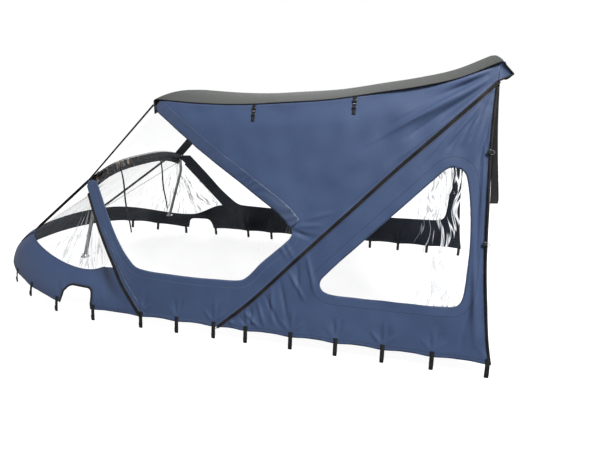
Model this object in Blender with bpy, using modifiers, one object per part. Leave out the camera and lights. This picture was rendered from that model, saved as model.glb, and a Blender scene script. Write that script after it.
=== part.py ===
"""Boat canopy with its hoop frame: cloth roof, sides and nose apron, clear film windows, zips, straps and bows.

Metres, +Z up, +X aft, +Y starboard; the port side is at -Y. The lower edge of the cover wraps a round form of
radius WRAP_R. Its outermost line runs straight at y = +-EDGE_Y and closes in a blunt, slightly raised nose.
Every sheet is a flat cut outline that a drape function lifts into place. Its thickness goes inwards.
"""
import math

import bmesh
import bpy
from mathutils import Matrix, Vector
from mathutils.geometry import delaunay_2d_cdt

# The round form that the cover wraps
WRAP_R = 0.267
WRAP_Z = 0.020
EDGE_Y = 0.972
NOSE_START_X = -0.376
NOSE_LENGTH = 1.500
NOSE_POWER = 2.3
NOSE_RISE = 0.100
RISE_START_X = -0.880
RISE_END_X = -1.680

# Cloth, film, webbing and zip
GAP = 0.0008
SLIVER_AREA = 1e-6
CLOTH = 0.0015
FILM = 0.0010
WEBBING = 0.0020
ZIP = 0.0018
ZIP_WIDTH = 0.012
BINDING_WIDTH = 0.012
GRID = 0.066
FILM_GRID = 0.140

# Roof: its seam to the sides, its crown across and the lips that turn down over the bows
ROOF_HALF_WIDTH = 0.600
ROOF_CROWN = 0.060
CROWN_POWER = 2.6
LIP_RADIUS = 0.018
FRONT_LIP = 0.075
REAR_LIP = 0.105
REAR_FLARE = 0.33
ROOF_COLUMNS = 12
SEAM = (  # x, z
    (-0.245, 1.426),
    (0.060, 1.407),
    (0.324, 1.404),
    (0.578, 1.418),
    (0.879, 1.440),
    (1.162, 1.481),
    (1.377, 1.514),
    (1.581, 1.560),
    (1.780, 1.640),
)
REAR_EDGE = (  # z, x
    (0.050, 1.876),
    (0.200, 1.846),
    (0.390, 1.822),
    (0.580, 1.802),
    (0.760, 1.792),
    (0.920, 1.786),
    (1.200, 1.774),
    (1.530, 1.776),
    (1.660, 1.779),
)
SHEET_TOP = (  # x, half breadth, z of the upper edge that the side cloth hangs from in straight lines
    (-0.900, 0.655, 0.850),
    (-0.796, 0.655, 0.850),
    (-0.245, 0.602, 1.390),
    (-0.100, 0.600, 1.420),
    (1.900, 0.600, 1.600),
)

# Outlines on the side cloth, as x and z
HEM_Z = 0.076
HEM_SCALLOP = 0.007
PILLAR_ZIP = ((-0.272, HEM_Z), (-0.318, 0.133), (-0.414, 0.245), (-0.492, 0.361), (-0.640, 0.579), (-0.780, 0.800))
DIAGONAL = ((0.270, HEM_Z), (0.480, 0.258), (0.771, 0.552), (1.046, 0.827), (1.305, 1.087), (1.560, 1.330), (1.779, 1.543))
PILLAR_TOP = ((-0.712, 0.888), (-0.792, 0.888), (-0.800, 0.842))
WINDOW_LOWER = (
    (-0.712, 0.888), (-0.588, 0.700), (-0.476, 0.532), (-0.352, 0.400), (-0.290, 0.374), (-0.100, 0.364),
    (0.073, 0.361), (0.250, 0.366), (0.400, 0.376), (0.450, 0.405), (0.526, 0.488), (0.610, 0.565),
    (0.690, 0.640), (0.708, 0.672), (0.700, 0.705),
)
SLEEVE_LOWER = (
    (0.700, 0.705), (0.630, 0.775), (0.499, 0.860), (0.365, 0.946), (0.089, 1.121), (-0.100, 1.254), (-0.235, 1.352),
)
SLEEVE_WIDTH = 0.070
REAR_WINDOW = (
    (1.565, 1.093), (1.625, 1.090), (1.658, 1.055), (1.690, 0.900), (1.705, 0.726), (1.704, 0.560), (1.692, 0.410),
    (1.664, 0.368), (1.600, 0.357), (1.400, 0.353), (1.200, 0.351), (0.983, 0.351), (0.922, 0.366), (0.899, 0.400),
    (0.912, 0.440), (1.115, 0.650), (1.323, 0.858), (1.500, 1.035),
)
FOLDS = (  # x0, z0, x1, z1, height, width
    (1.72, 1.560, 1.18, 1.250, 0.012, 0.045),
    (1.70, 1.590, 1.05, 1.420, -0.010, 0.050),
    (1.70, 1.560, 1.34, 1.250, -0.009, 0.035),
    (1.20, 1.250, 0.82, 0.900, 0.008, 0.050),
    (1.74, 1.420, 1.66, 1.120, 0.009, 0.035),
    (1.76, 1.300, 1.74, 0.500, -0.008, 0.030),
    (1.78, 0.900, 1.80, 0.150, 0.009, 0.030),
    (0.62, 0.330, 0.40, 0.110, -0.006, 0.035),
    (0.98, 0.300, 0.86, 0.110, 0.006, 0.040),
    (1.30, 0.310, 1.37, 0.110, 0.006, 0.040),
    (1.56, 0.300, 1.62, 0.110, -0.006, 0.040),
)

# Nose apron: reach up the round form and the cut-outs for the carrying handles
APRON_REACH = 0.330
BLEND_LENGTH = 0.450
LEAVE_AT_ZIP = 0.42
LEAVE_AT_NOSE = 1.27
FILM_RUN = 0.60
HANDLE_HOLE = ((-0.930, 0.000), (-0.905, 0.085), (-0.885, 0.122), (-0.855, 0.138), (-0.700, 0.138), (-0.674, 0.120),
               (-0.660, 0.080), (-0.648, 0.000))

# Header band and the windscreen hoop under it
HOOP_X = -0.785
HOOP_TUBE = 0.0125
HOOP_HALF_WIDTH = 0.600
HOOP_CROWN_Z = 0.966
HOOP_DROP = 0.085
HOOP_FOOT_X = -0.950
HOOP_KNEE_Z = 0.755
FOOT_PLATE = (0.030, 0.290, 0.296)
SLEEVE_CLEARANCE = 0.0024
HEADER_SKIRT = 0.072
HEADER_BACK = 0.030
HEADER_HALF_WIDTH = 0.620
HEADER_STRETCH = 4.0

# Roof bows
BOW_TUBE = 0.011
MAIN_BOW_FOOT = (0.560, 0.640, 0.296)
MAIN_BOW_X = 1.780
BOW_PIVOT = (0.793, 0.604, 0.552)
FRONT_BOW_X = -0.245
BOW_CORNER_Y = 0.575
BOW_SEAT = 0.0010
BOW_BEND = 0.060

# Aft curtain and straps
CURTAIN_TOP = 1.512
CURTAIN_FOOT = 0.920
CURTAIN_WIDTH = 0.300
CURTAIN_FOLD = 0.100
CURTAIN_STRETCH = 5.0
TAPE_WIDTH = 0.100
HEM_STRAPS = (-1.473, -1.249, -0.962, -0.633, -0.267, -0.010, 0.244, 0.456, 0.742, 1.015, 1.287, 1.560, 1.852)
STRAP_WIDTH = 0.025
BOW_STRAP_ARC = 0.560
ROOF_STRAPS = (0.418, 1.025)
TIES = ((-0.320, 0.520), (0.230, 0.470))


def clear_scene():
    """Remove every object of the scene."""
    for found in list(bpy.data.objects):
        bpy.data.objects.remove(found, do_unlink=True)


def new_collection(name):
    """A collection linked to the scene."""
    made = bpy.data.collections.new(name)
    bpy.context.scene.collection.children.link(made)
    return made


def material(name, color, roughness, metallic=0.0, alpha=1.0):
    """A Principled BSDF with one colour, roughness and metallic value."""
    made = bpy.data.materials.new(name)
    made.use_nodes = True
    shader = made.node_tree.nodes["Principled BSDF"]
    shader.inputs["Base Color"].default_value = (*color, 1.0)
    shader.inputs["Roughness"].default_value = roughness
    shader.inputs["Metallic"].default_value = metallic
    shader.inputs["Alpha"].default_value = alpha
    made.diffuse_color = (*color, alpha)
    return made


def smooth(value):
    """Smoothstep of a value held between 0 and 1."""
    held = min(max(value, 0.0), 1.0)
    return held * held * (3.0 - 2.0 * held)


def read_table(rows, at, column=1):
    """A column of a table at a place between its rows, on a smooth curve through the rows."""
    if at <= rows[0][0]:
        return rows[0][column]
    if at >= rows[-1][0]:
        return rows[-1][column]
    low = max(index for index, row in enumerate(rows) if row[0] <= at)
    high = low + 1
    span = rows[high][0] - rows[low][0]
    part = (at - rows[low][0]) / span

    def slope(index):
        before = rows[max(index - 1, 0)]
        after = rows[min(index + 1, len(rows) - 1)]
        return (after[column] - before[column]) / (after[0] - before[0])

    start = (1 + 2 * part) * (1 - part) ** 2 * rows[low][column] + part * (1 - part) ** 2 * span * slope(low)
    end = part * part * (3 - 2 * part) * rows[high][column] + part * part * (part - 1) * span * slope(high)
    return start + end


def resample(line, step):
    """The line with points added so that no stretch is longer than step."""
    out = [Vector(line[0])]
    for start, end in zip(line, line[1:]):
        start, end = Vector(start), Vector(end)
        pieces = max(1, math.ceil((end - start).length / step))
        out += [start.lerp(end, index / pieces) for index in range(1, pieces + 1)]
    return out


def parallel(line, distance):
    """The line moved sideways: to its left for a positive distance."""
    out = []
    for index, point in enumerate(line):
        before = Vector(line[max(index - 1, 0)])
        after = Vector(line[min(index + 1, len(line) - 1)])
        along = (after - before).normalized()
        out.append(Vector(point) + distance * Vector((-along.y, along.x)))
    return out


def inset(outline, distance):
    """A counter-clockwise closed outline drawn in by a distance."""
    count = len(outline)
    out = []
    for index, point in enumerate(outline):
        into = (point - outline[index - 1]).normalized()
        onward = (outline[(index + 1) % count] - point).normalized()
        bisector = Vector((-into.y - onward.y, into.x + onward.x))
        scale = max(bisector.length_squared / 2, 0.25)
        out.append(point + bisector * (distance / scale))
    return out


def inside(point, outline):
    """Whether a point lies in a closed outline."""
    found = False
    for start, end in zip(outline, outline[1:] + outline[:1]):
        if (start.y > point.y) != (end.y > point.y):
            if point.x < (end.x - start.x) * (point.y - start.y) / (end.y - start.y) + start.x:
                found = not found
    return found


def clearance(point, outline):
    """Distance from a point to an outline's edges."""
    best = math.inf
    for start, end in zip(outline, outline[1:] + outline[:1]):
        run = end - start
        part = min(max((point - start).dot(run) / max(run.length_squared, 1e-12), 0.0), 1.0)
        best = min(best, (point - start - part * run).length)
    return best


def add_object(name, mesh, collection, look):
    """An object for a mesh, with its material, in its collection."""
    mesh.materials.append(look)
    made = bpy.data.objects.new(name, mesh)
    collection.objects.link(made)
    return made


def sheet(name, outline, lift, collection, look, thickness, holes=(), grid=GRID, flip=False,
          creases=()):
    """Cloth cut to an outline with holes and lifted into place. Its thickness lies on the inner side.

    creases are lines of the flat cut, where the drape bends sharply.
    """
    outline = inset(outline, GAP / 2)
    holes = [inset(hole, -GAP / 2) for hole in holes]
    loops = [outline, *holes]
    points = [point for loop in loops for point in loop]
    edges = []
    start = 0
    for loop in loops:
        count = len(loop)
        edges += [(start + index, start + (index + 1) % count) for index in range(count)]
        start += count
    for line in creases:
        edges += [(start + index, start + index + 1) for index in range(len(line) - 1)]
        points += line
        start += len(line)
    crease_points = [point for line in creases for point in line]
    low = Vector((min(p.x for p in outline), min(p.y for p in outline)))
    high = Vector((max(p.x for p in outline), max(p.y for p in outline)))
    row_step = grid * math.sqrt(3) / 2
    for row in range(1, math.ceil((high.y - low.y) / row_step)):
        for column in range(math.ceil((high.x - low.x) / grid)):
            point = low + Vector(((column + 0.5 * (row % 2)) * grid, row * row_step))
            if inside(point, outline) and not any(inside(point, hole) for hole in holes):
                if min(clearance(point, loop) for loop in loops) > 0.45 * grid:
                    if all((point - crease).length > 0.45 * grid for crease in crease_points):
                        points.append(point)
    cut, _, faces, *_ = delaunay_2d_cdt(points, edges, [], 0, 1e-7)
    kept = []
    for face in faces:
        a, b, c = (cut[index] for index in face)
        middle = (a + b + c) / 3
        sliver = abs((b - a).cross(c - a)) < SLIVER_AREA
        if not sliver and inside(middle, outline) and not any(inside(middle, hole) for hole in holes):
            kept.append(face[::-1] if flip else face)
    mesh = bpy.data.meshes.new(name)
    mesh.from_pydata([lift(point) for point in cut], [], kept)
    edit = bmesh.new()
    edit.from_mesh(mesh)
    loose = [vertex for vertex in edit.verts if not vertex.link_faces]
    bmesh.ops.delete(edit, geom=loose, context="VERTS")
    edit.to_mesh(mesh)
    edit.free()
    mesh.shade_smooth()
    made = add_object(name, mesh, collection, look)
    shell = made.modifiers.new("thickness", "SOLIDIFY")
    shell.thickness = thickness
    shell.offset = -1.0
    return made


def strip(name, path, across, collection, look, thickness=WEBBING):
    """Flat webbing along a path: across gives the half width vector at each point."""
    edit = bmesh.new()
    rows = []
    for index, point in enumerate(path):
        half = across(index)
        rows.append((edit.verts.new(point - half), edit.verts.new(point + half)))
    for low, high in zip(rows, rows[1:]):
        edit.faces.new((low[0], low[1], high[1], high[0]))
    mesh = bpy.data.meshes.new(name)
    edit.to_mesh(mesh)
    edit.free()
    made = add_object(name, mesh, collection, look)
    shell = made.modifiers.new("thickness", "SOLIDIFY")
    shell.thickness = thickness
    shell.offset = 0.0
    return made


def nose_rise(x):
    """Height that the round form gains towards the nose."""
    return NOSE_RISE * smooth((RISE_START_X - x) / (RISE_START_X - RISE_END_X))


def edge_breadth(x):
    """Half breadth of the outermost line at x."""
    if x >= NOSE_START_X:
        return EDGE_Y
    part = min((NOSE_START_X - x) / NOSE_LENGTH, 1.0)
    return EDGE_Y * (1.0 - part ** NOSE_POWER) ** (1.0 / NOSE_POWER)


def fold_height(x, z):
    """Ridges and troughs of the side cloth, each fading to nothing at its ends."""
    total = 0.0
    for x0, z0, x1, z1, height, width in FOLDS:
        run = Vector((x1 - x0, z1 - z0))
        offset = Vector((x - x0, z - z0))
        part = offset.dot(run) / run.length_squared
        if 0.0 < part < 1.0:
            away = (offset - part * run).length
            total += height * math.exp(-(away / width) ** 2) * math.sin(math.pi * part)
    return total


def side_breadth(x, z):
    """Half breadth of the side cloth: straight from its top edge to the round form, then around it."""
    top_y = read_table(SHEET_TOP, x, 1)
    top_z = read_table(SHEET_TOP, x, 2)
    centre_y = edge_breadth(x) - WRAP_R
    centre_z = WRAP_Z + nose_rise(x)
    reach = math.hypot(top_y - centre_y, top_z - centre_z)
    tangent = math.atan2(top_z - centre_z, top_y - centre_y) - math.acos(WRAP_R / reach)
    touch_y = centre_y + WRAP_R * math.cos(tangent)
    touch_z = centre_z + WRAP_R * math.sin(tangent)
    if z <= touch_z:
        return centre_y + math.sqrt(WRAP_R ** 2 - (z - centre_z) ** 2)
    return touch_y + (top_y - touch_y) * (z - touch_z) / (top_z - touch_z) + fold_height(x, z)


def roof_lift(point):
    """Roof drape: sagging seam line, crown across, and lips rolled down over the front and rear bow."""
    front, rear = SEAM[0][0], SEAM[-1][0]
    x = min(max(point.x, front), rear)
    level = read_table(SEAM, x) + CLOTH + 0.0001
    level += ROOF_CROWN * (1.0 - abs(point.y / ROOF_HALF_WIDTH) ** CROWN_POWER)
    over = abs(point.x - x)
    turn = min(over / LIP_RADIUS, math.pi / 2)
    hang = max(over - LIP_RADIUS * math.pi / 2, 0.0)
    outward = LIP_RADIUS * math.sin(turn)
    drop = LIP_RADIUS * (1.0 - math.cos(turn)) + hang
    if point.x > rear:
        outward += REAR_FLARE * hang
    return Vector((x + math.copysign(outward, point.x - x), point.y, level - drop))


def nose_path():
    """Outermost line from the nose tip aft to NOSE_START_X as rows of arc length, x and half breadth."""
    rows = [(0.0, NOSE_START_X - NOSE_LENGTH, 0.0)]
    steps = 240
    for index in range(1, steps + 1):
        angle = math.pi / 2 * (1.0 - index / steps)
        x = NOSE_START_X - NOSE_LENGTH * math.sin(angle) ** (2.0 / NOSE_POWER)
        y = EDGE_Y * math.cos(angle) ** (2.0 / NOSE_POWER)
        rows.append((rows[-1][0] + math.hypot(x - rows[-1][1], y - rows[-1][2]), x, y))
    return rows


NOSE_PATH = nose_path()
NOSE_ARC = NOSE_PATH[-1][0]


def edge_point(arc):
    """Point and outward direction on the outermost line. The arc length is 0 at the tip, below 0 to port."""
    def place(distance):
        if distance >= NOSE_ARC:
            return Vector((NOSE_START_X + distance - NOSE_ARC, EDGE_Y))
        low = max(index for index, row in enumerate(NOSE_PATH[:-1]) if row[0] <= distance)
        near, far = NOSE_PATH[low], NOSE_PATH[low + 1]
        part = (distance - near[0]) / (far[0] - near[0])
        return Vector((near[1], near[2])).lerp(Vector((far[1], far[2])), part)

    distance = abs(arc)
    point = place(distance)
    along = (place(distance + 0.02) - place(max(distance - 0.02, 0.0))).normalized()
    outward = Vector((-along.y, along.x)) if distance > 0.0005 else Vector((-1.0, 0.0))
    sign = -1.0 if arc < 0 else 1.0
    return Vector((point.x, sign * point.y)), Vector((outward.x, sign * outward.y))


def arc_of(x):
    """Arc length from the nose tip to x."""
    if x >= NOSE_START_X:
        return NOSE_ARC + x - NOSE_START_X
    return next(row[0] for row in NOSE_PATH if row[1] >= x)


def zip_line_x(z):
    """x of the pillar zip at a height."""
    rows = [(height, x) for x, height in PILLAR_ZIP]
    return read_table(rows, z)


def apron_lift(point):
    """Nose apron drape: along the edge by arc length, and up the round form by girth from its outermost line.

    Towards the pillar zip the cloth leaves the round form earlier, so that it meets the side cloth there.
    """
    arc, girth = point.x, point.y
    place, outward = edge_point(arc)
    height = WRAP_Z + WRAP_R * math.sin(min(girth / WRAP_R, LEAVE_AT_ZIP))
    height += max(girth - WRAP_R * LEAVE_AT_ZIP, 0.0) * math.cos(LEAVE_AT_ZIP)
    away = arc_of(zip_line_x(height)) - abs(arc)
    leave = LEAVE_AT_ZIP + (LEAVE_AT_NOSE - LEAVE_AT_ZIP) * smooth(away / BLEND_LENGTH)
    turn = min(girth / WRAP_R, leave)
    straight = max(girth - WRAP_R * leave, 0.0)
    out = WRAP_R * (math.cos(turn) - 1.0) - straight * math.sin(leave)
    level = WRAP_Z + nose_rise(place.x) + WRAP_R * math.sin(turn) + straight * math.cos(leave)
    x = place.x + out * outward.x
    y = place.y + out * outward.y
    joined = 1.0 - smooth((away - 0.02) / 0.16)
    if joined > 0.0:
        y += joined * (math.copysign(side_breadth(x, level), arc) - y)
    return Vector((x, y, level))


def apron_reach(arc):
    """Girth at which the apron ends and the front film begins."""
    away = arc_of(PILLAR_ZIP[3][0]) - abs(arc)
    return APRON_REACH + 0.036 * (1.0 - smooth(away / 0.4))


def zip_girth(z):
    """Girth of the apron on the zip line at a height."""
    leave_z = WRAP_Z + WRAP_R * math.sin(LEAVE_AT_ZIP)
    if z <= leave_z:
        return WRAP_R * math.asin((z - WRAP_Z) / WRAP_R)
    return WRAP_R * LEAVE_AT_ZIP + (z - leave_z) / math.cos(LEAVE_AT_ZIP)


def flat_apron(x, z):
    """Where a place of the port side at x and z lies in the flat cut of the apron."""
    flat = Vector((-arc_of(x), zip_girth(z)))
    for _ in range(12):
        place = apron_lift(flat)
        flat += Vector((place.x - x, z - place.z))
    return flat


def hoop_arch(y):
    """Height of the hoop's arch at y, and its upward direction across as y and z."""
    part = abs(y) / HOOP_HALF_WIDTH
    fall = math.copysign(3.0 * HOOP_DROP * part * part / HOOP_HALF_WIDTH, y)
    return HOOP_CROWN_Z - HOOP_DROP * part ** 3, Vector((fall, 1.0)).normalized()


HEADER_RADIUS = HOOP_TUBE + SLEEVE_CLEARANCE + CLOTH


def header_lift(point):
    """Header band drape: a skirt before the hoop, a half turn over it and a short hem behind it."""
    y, run = point.x * HEADER_STRETCH, point.y
    z, up = hoop_arch(y)
    turned = min(max((run - HEADER_SKIRT) / HEADER_RADIUS, 0.0), math.pi)
    rise = min(run - HEADER_SKIRT, 0.0) - max(run - HEADER_SKIRT - math.pi * HEADER_RADIUS, 0.0)
    if turned > 0.0:
        rise -= min(run - HEADER_SKIRT, 0.0)
    rise += HEADER_RADIUS * math.sin(turned)
    return Vector((HOOP_X - HEADER_RADIUS * math.cos(turned), y + rise * up.x, z + rise * up.y))


def film_lift(point):
    """Front film drape: straight lines from the apron's edge to the header band; its ends follow the zip."""
    arc, part = point.x, point.y / FILM_RUN
    end_arc = arc_of(PILLAR_ZIP[3][0])
    low = apron_lift(Vector((arc, apron_reach(arc))))
    share = arc / end_arc
    fanned = math.copysign(1.0 - (1.0 - min(abs(share), 1.0) ** 1.5) ** 2.4, arc)
    high = header_lift(Vector((fanned * HEADER_HALF_WIDTH * 1.06 / HEADER_STRETCH, -0.0012)))
    place = low.lerp(high, part)
    ramp = 3.0 * (1.0 - min(abs(share), 0.997))
    bound = smooth((abs(share) - 0.90) / 0.10) * min(part / ramp, 1.0)
    if bound > 0.0:
        side = math.copysign(side_breadth(place.x, place.z), arc)
        place.x += bound * (zip_line_x(place.z) - 0.8 * ZIP_WIDTH - place.x)
        place.y += bound * (side - place.y)
    return place


def curtain_lift(point):
    """Aft curtain drape: gathered folds that hang behind the rear edge of the side, closer at the foot."""
    across, z = point.x, point.y * CURTAIN_STRETCH
    fallen = (CURTAIN_TOP - z) / (CURTAIN_TOP - CURTAIN_FOOT)
    edge_x = read_table(REAR_EDGE, z)
    spread = 0.85 - 0.45 * smooth(fallen)
    swell = (0.010 + 0.012 * smooth(fallen)) * (1.0 - math.cos(2 * math.pi * across / CURTAIN_FOLD))
    x = edge_x + 0.0012 + swell + 0.05 * across
    return Vector((x, side_breadth(edge_x, z) - spread * across, z))


def fillet(corners, radius, steps=7):
    """A path through corners with its bends rounded by a curve that starts a radius before each."""
    out = [Vector(corners[0])]
    for before, corner, after in zip(corners, corners[1:], corners[2:]):
        before, corner, after = Vector(before), Vector(corner), Vector(after)
        start = corner + (before - corner).normalized() * radius
        end = corner + (after - corner).normalized() * radius
        for index in range(steps + 1):
            part = index / steps
            out.append((1 - part) ** 2 * start + 2 * part * (1 - part) * corner + part ** 2 * end)
    out.append(Vector(corners[-1]))
    return out


def tube(name, path, radius, collection, look):
    """A round tube along a path, as a welded mesh."""
    curve = bpy.data.curves.new(name, "CURVE")
    curve.dimensions = "3D"
    curve.bevel_depth = radius
    curve.bevel_resolution = 2
    curve.use_fill_caps = True
    spline = curve.splines.new("POLY")
    spline.points.add(len(path) - 1)
    for point, place in zip(spline.points, path):
        point.co = (*place, 1.0)
    guide = bpy.data.objects.new(name + "_guide", curve)
    collection.objects.link(guide)
    bpy.context.view_layer.update()
    mesh = bpy.data.meshes.new_from_object(guide.evaluated_get(bpy.context.evaluated_depsgraph_get()))
    bpy.data.objects.remove(guide, do_unlink=True)
    edit = bmesh.new()
    edit.from_mesh(mesh)
    bmesh.ops.remove_doubles(edit, verts=edit.verts, dist=0.00001)
    bmesh.ops.recalc_face_normals(edit, faces=edit.faces)
    edit.to_mesh(mesh)
    edit.free()
    mesh.name = name
    mesh.materials.clear()
    mesh.shade_smooth()
    return add_object(name, mesh, collection, look)


def cylinder(name, radius, low, high, place, collection, look):
    """An upright cylinder between two heights at a place."""
    edit = bmesh.new()
    bmesh.ops.create_cone(edit, cap_ends=True, segments=24, radius1=radius, radius2=radius, depth=high - low)
    mesh = bpy.data.meshes.new(name)
    edit.to_mesh(mesh)
    edit.free()
    made = add_object(name, mesh, collection, look)
    made.location = (place[0], place[1], (low + high) / 2)
    return made


def join_to(target, tool):
    """Union of a target with a tool, which stays as a hidden cutter."""
    tool.display_type = "WIRE"
    tool.hide_render = True
    union = target.modifiers.new("join", "BOOLEAN")
    union.operation = "UNION"
    union.object = tool


def mirrored(points, sign):
    """Points given for a positive y, placed on one side."""
    return [Vector((point[0], sign * point[1], point[2])) for point in points]


def bow_path(foot, x):
    """A bow at x from one foot to the other. Its crown bears on the roof from below."""
    def under_roof(y):
        return Vector((x, y, roof_lift(Vector((x, y))).z - CLOTH - BOW_TUBE - BOW_SEAT))

    column = 2 * ROOF_HALF_WIDTH / ROOF_COLUMNS
    over = [under_roof(column * index) for index in range(5, -6, -1)]
    corner = under_roof(BOW_CORNER_Y) - Vector((0.0, 0.0, BOW_SEAT))
    port = fillet([foot, corner, over[0]], BOW_BEND)[:-1]
    return port + over + mirrored(reversed(port), -1.0)


def build_frame(parts, cutters, looks):
    """Windscreen hoop with its foot plates and the two bows of the roof."""
    foot = (HOOP_FOOT_X, HOOP_HALF_WIDTH, FOOT_PLATE[1] + 0.003)
    shoulder_z = hoop_arch(0.88 * HOOP_HALF_WIDTH)[0]
    arch = [(HOOP_X, y * HOOP_HALF_WIDTH, hoop_arch(y * HOOP_HALF_WIDTH)[0]) for y in
            (0.88, 0.75, 0.6, 0.45, 0.3, 0.15, 0.0, -0.15, -0.3, -0.45, -0.6, -0.75, -0.88)]
    knee = (HOOP_X, HOOP_HALF_WIDTH, HOOP_KNEE_Z)
    corner = (HOOP_X, HOOP_HALF_WIDTH, shoulder_z - 0.027)
    port = fillet([foot, knee, corner, arch[0]], 0.035, 5)
    path = port[:-1] + [Vector(point) for point in arch] + mirrored(reversed(port[:-1]), -1.0)
    hoop = tube("windscreen_hoop", path, HOOP_TUBE, parts, looks["tube"])
    for sign in (-1.0, 1.0):
        place = (HOOP_FOOT_X, sign * HOOP_HALF_WIDTH)
        plate = cylinder(f"plate_{sign:+.0f}", FOOT_PLATE[0], FOOT_PLATE[1], FOOT_PLATE[2], place, cutters, looks["tube"])
        join_to(hoop, plate)
    tube("main_bow", bow_path(MAIN_BOW_FOOT, MAIN_BOW_X), BOW_TUBE, parts, looks["tube"])
    tube("front_bow", bow_path(BOW_PIVOT, FRONT_BOW_X), BOW_TUBE, parts, looks["tube"])


def hem_line(x0, x1):
    """Side hem between two places, lifted a little between the straps."""
    count = math.ceil((x1 - x0) / (0.4 * GRID))
    stations = [x0 + (x1 - x0) * index / count for index in range(1, count)]
    out = []
    for x in stations:
        near = min(abs(x - strap) for strap in HEM_STRAPS)
        out.append(Vector((x, HEM_Z + HEM_SCALLOP * smooth(near / 0.11))))
    return out


def build_sides(parts, looks):
    """The cut pieces of each side: panels, sleeve, films, zips, binding and curtain."""
    half_zip = ZIP_WIDTH / 2
    zip_line = resample(PILLAR_ZIP, GRID)
    diagonal = resample(DIAGONAL, GRID)
    zip_fore, zip_aft = parallel(zip_line, half_zip), parallel(zip_line, -half_zip)
    cut_fore, cut_aft = parallel(diagonal, half_zip), parallel(diagonal, -half_zip)
    low = resample(WINDOW_LOWER, GRID)
    sleeve_low = resample(SLEEVE_LOWER, GRID)
    sleeve_high = parallel(sleeve_low, -SLEEVE_WIDTH)
    pillar_top = [Vector(point) for point in PILLAR_TOP]
    front_x, rear_x = -0.222, read_table(REAR_EDGE, 1.6) - 0.002
    count = math.ceil((rear_x - front_x) / (2 * GRID))
    seam = [rear_x + (front_x - rear_x) * index / count for index in range(count + 1)]
    seam = [Vector((x, read_table(SEAM, x) - 0.0006)) for x in seam]
    sleeve_high = [point for point in sleeve_high if point.x > front_x + 0.03]
    front_panel = zip_aft[:1] + hem_line(zip_aft[0].x, cut_fore[0].x) + cut_fore + seam + sleeve_high[::-1]
    front_panel += low[::-1] + pillar_top[1:] + zip_aft[::-1][1:-1]
    sleeve = sleeve_high + [seam[-1], Vector((-0.243, 1.385))] + sleeve_low[::-1]
    window = low + sleeve_low[1:] + resample(((-0.240, 1.350), (-0.708, 0.892)), GRID)[1:-1]
    edge_heights = [HEM_Z + (1.515 - HEM_Z) * index / 26 for index in range(27)]
    edge = [Vector((read_table(REAR_EDGE, z), z)) for z in edge_heights]
    edge_in = [point - Vector((BINDING_WIDTH, 0.0)) for point in edge]
    rear_panel = cut_aft[:1] + hem_line(cut_aft[0].x, edge_in[0].x) + edge_in + cut_aft[::-1][:-1]
    rear_hole = resample(REAR_WINDOW + REAR_WINDOW[:1], GRID)[:-1][::-1]
    binding = edge_in[::-1] + edge
    pillar_strip = zip_aft + zip_fore[::-1]
    diagonal_strip = cut_aft + cut_fore[::-1]
    curtain = [Vector((0.0, CURTAIN_FOOT / CURTAIN_STRETCH)), Vector((CURTAIN_WIDTH, CURTAIN_FOOT / CURTAIN_STRETCH)),
               Vector((CURTAIN_WIDTH, CURTAIN_TOP / CURTAIN_STRETCH)), Vector((0.0, CURTAIN_TOP / CURTAIN_STRETCH))]
    curtain = resample(curtain + curtain[:1], CURTAIN_FOLD / 6)[:-1]
    cuts = (
        ("front_side_panel", front_panel, looks["navy"], CLOTH, (), GRID),
        ("front_sleeve", sleeve, looks["navy"], CLOTH, (), GRID),
        ("front_side_window", window, looks["film"], FILM, (), FILM_GRID),
        ("rear_side_panel", rear_panel, looks["navy"], CLOTH, (rear_hole,), GRID),
        ("rear_side_window", rear_hole, looks["film"], FILM, (), FILM_GRID),
        ("rear_binding", binding, looks["black"], CLOTH, (), GRID),
        ("pillar_zip", pillar_strip, looks["black"], ZIP, (), GRID),
        ("diagonal_zip", diagonal_strip, looks["black"], ZIP, (), GRID),
    )
    for side, sign in (("port", -1.0), ("starboard", 1.0)):
        for name, outline, look, thickness, holes, grid in cuts:
            sheet(f"{name}_{side}", outline, lambda p, s=sign: Vector((p.x, s * side_breadth(p.x, p.y), p.y)),
                  parts, look, thickness, holes, grid, flip=sign > 0)

        def hang(point, s=sign):
            place = curtain_lift(point)
            return Vector((place.x, s * place.y, place.z))

        sheet(f"aft_curtain_{side}", curtain, hang, parts, looks["dark"], CLOTH, (), CURTAIN_FOLD / 5, flip=sign > 0)


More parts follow.
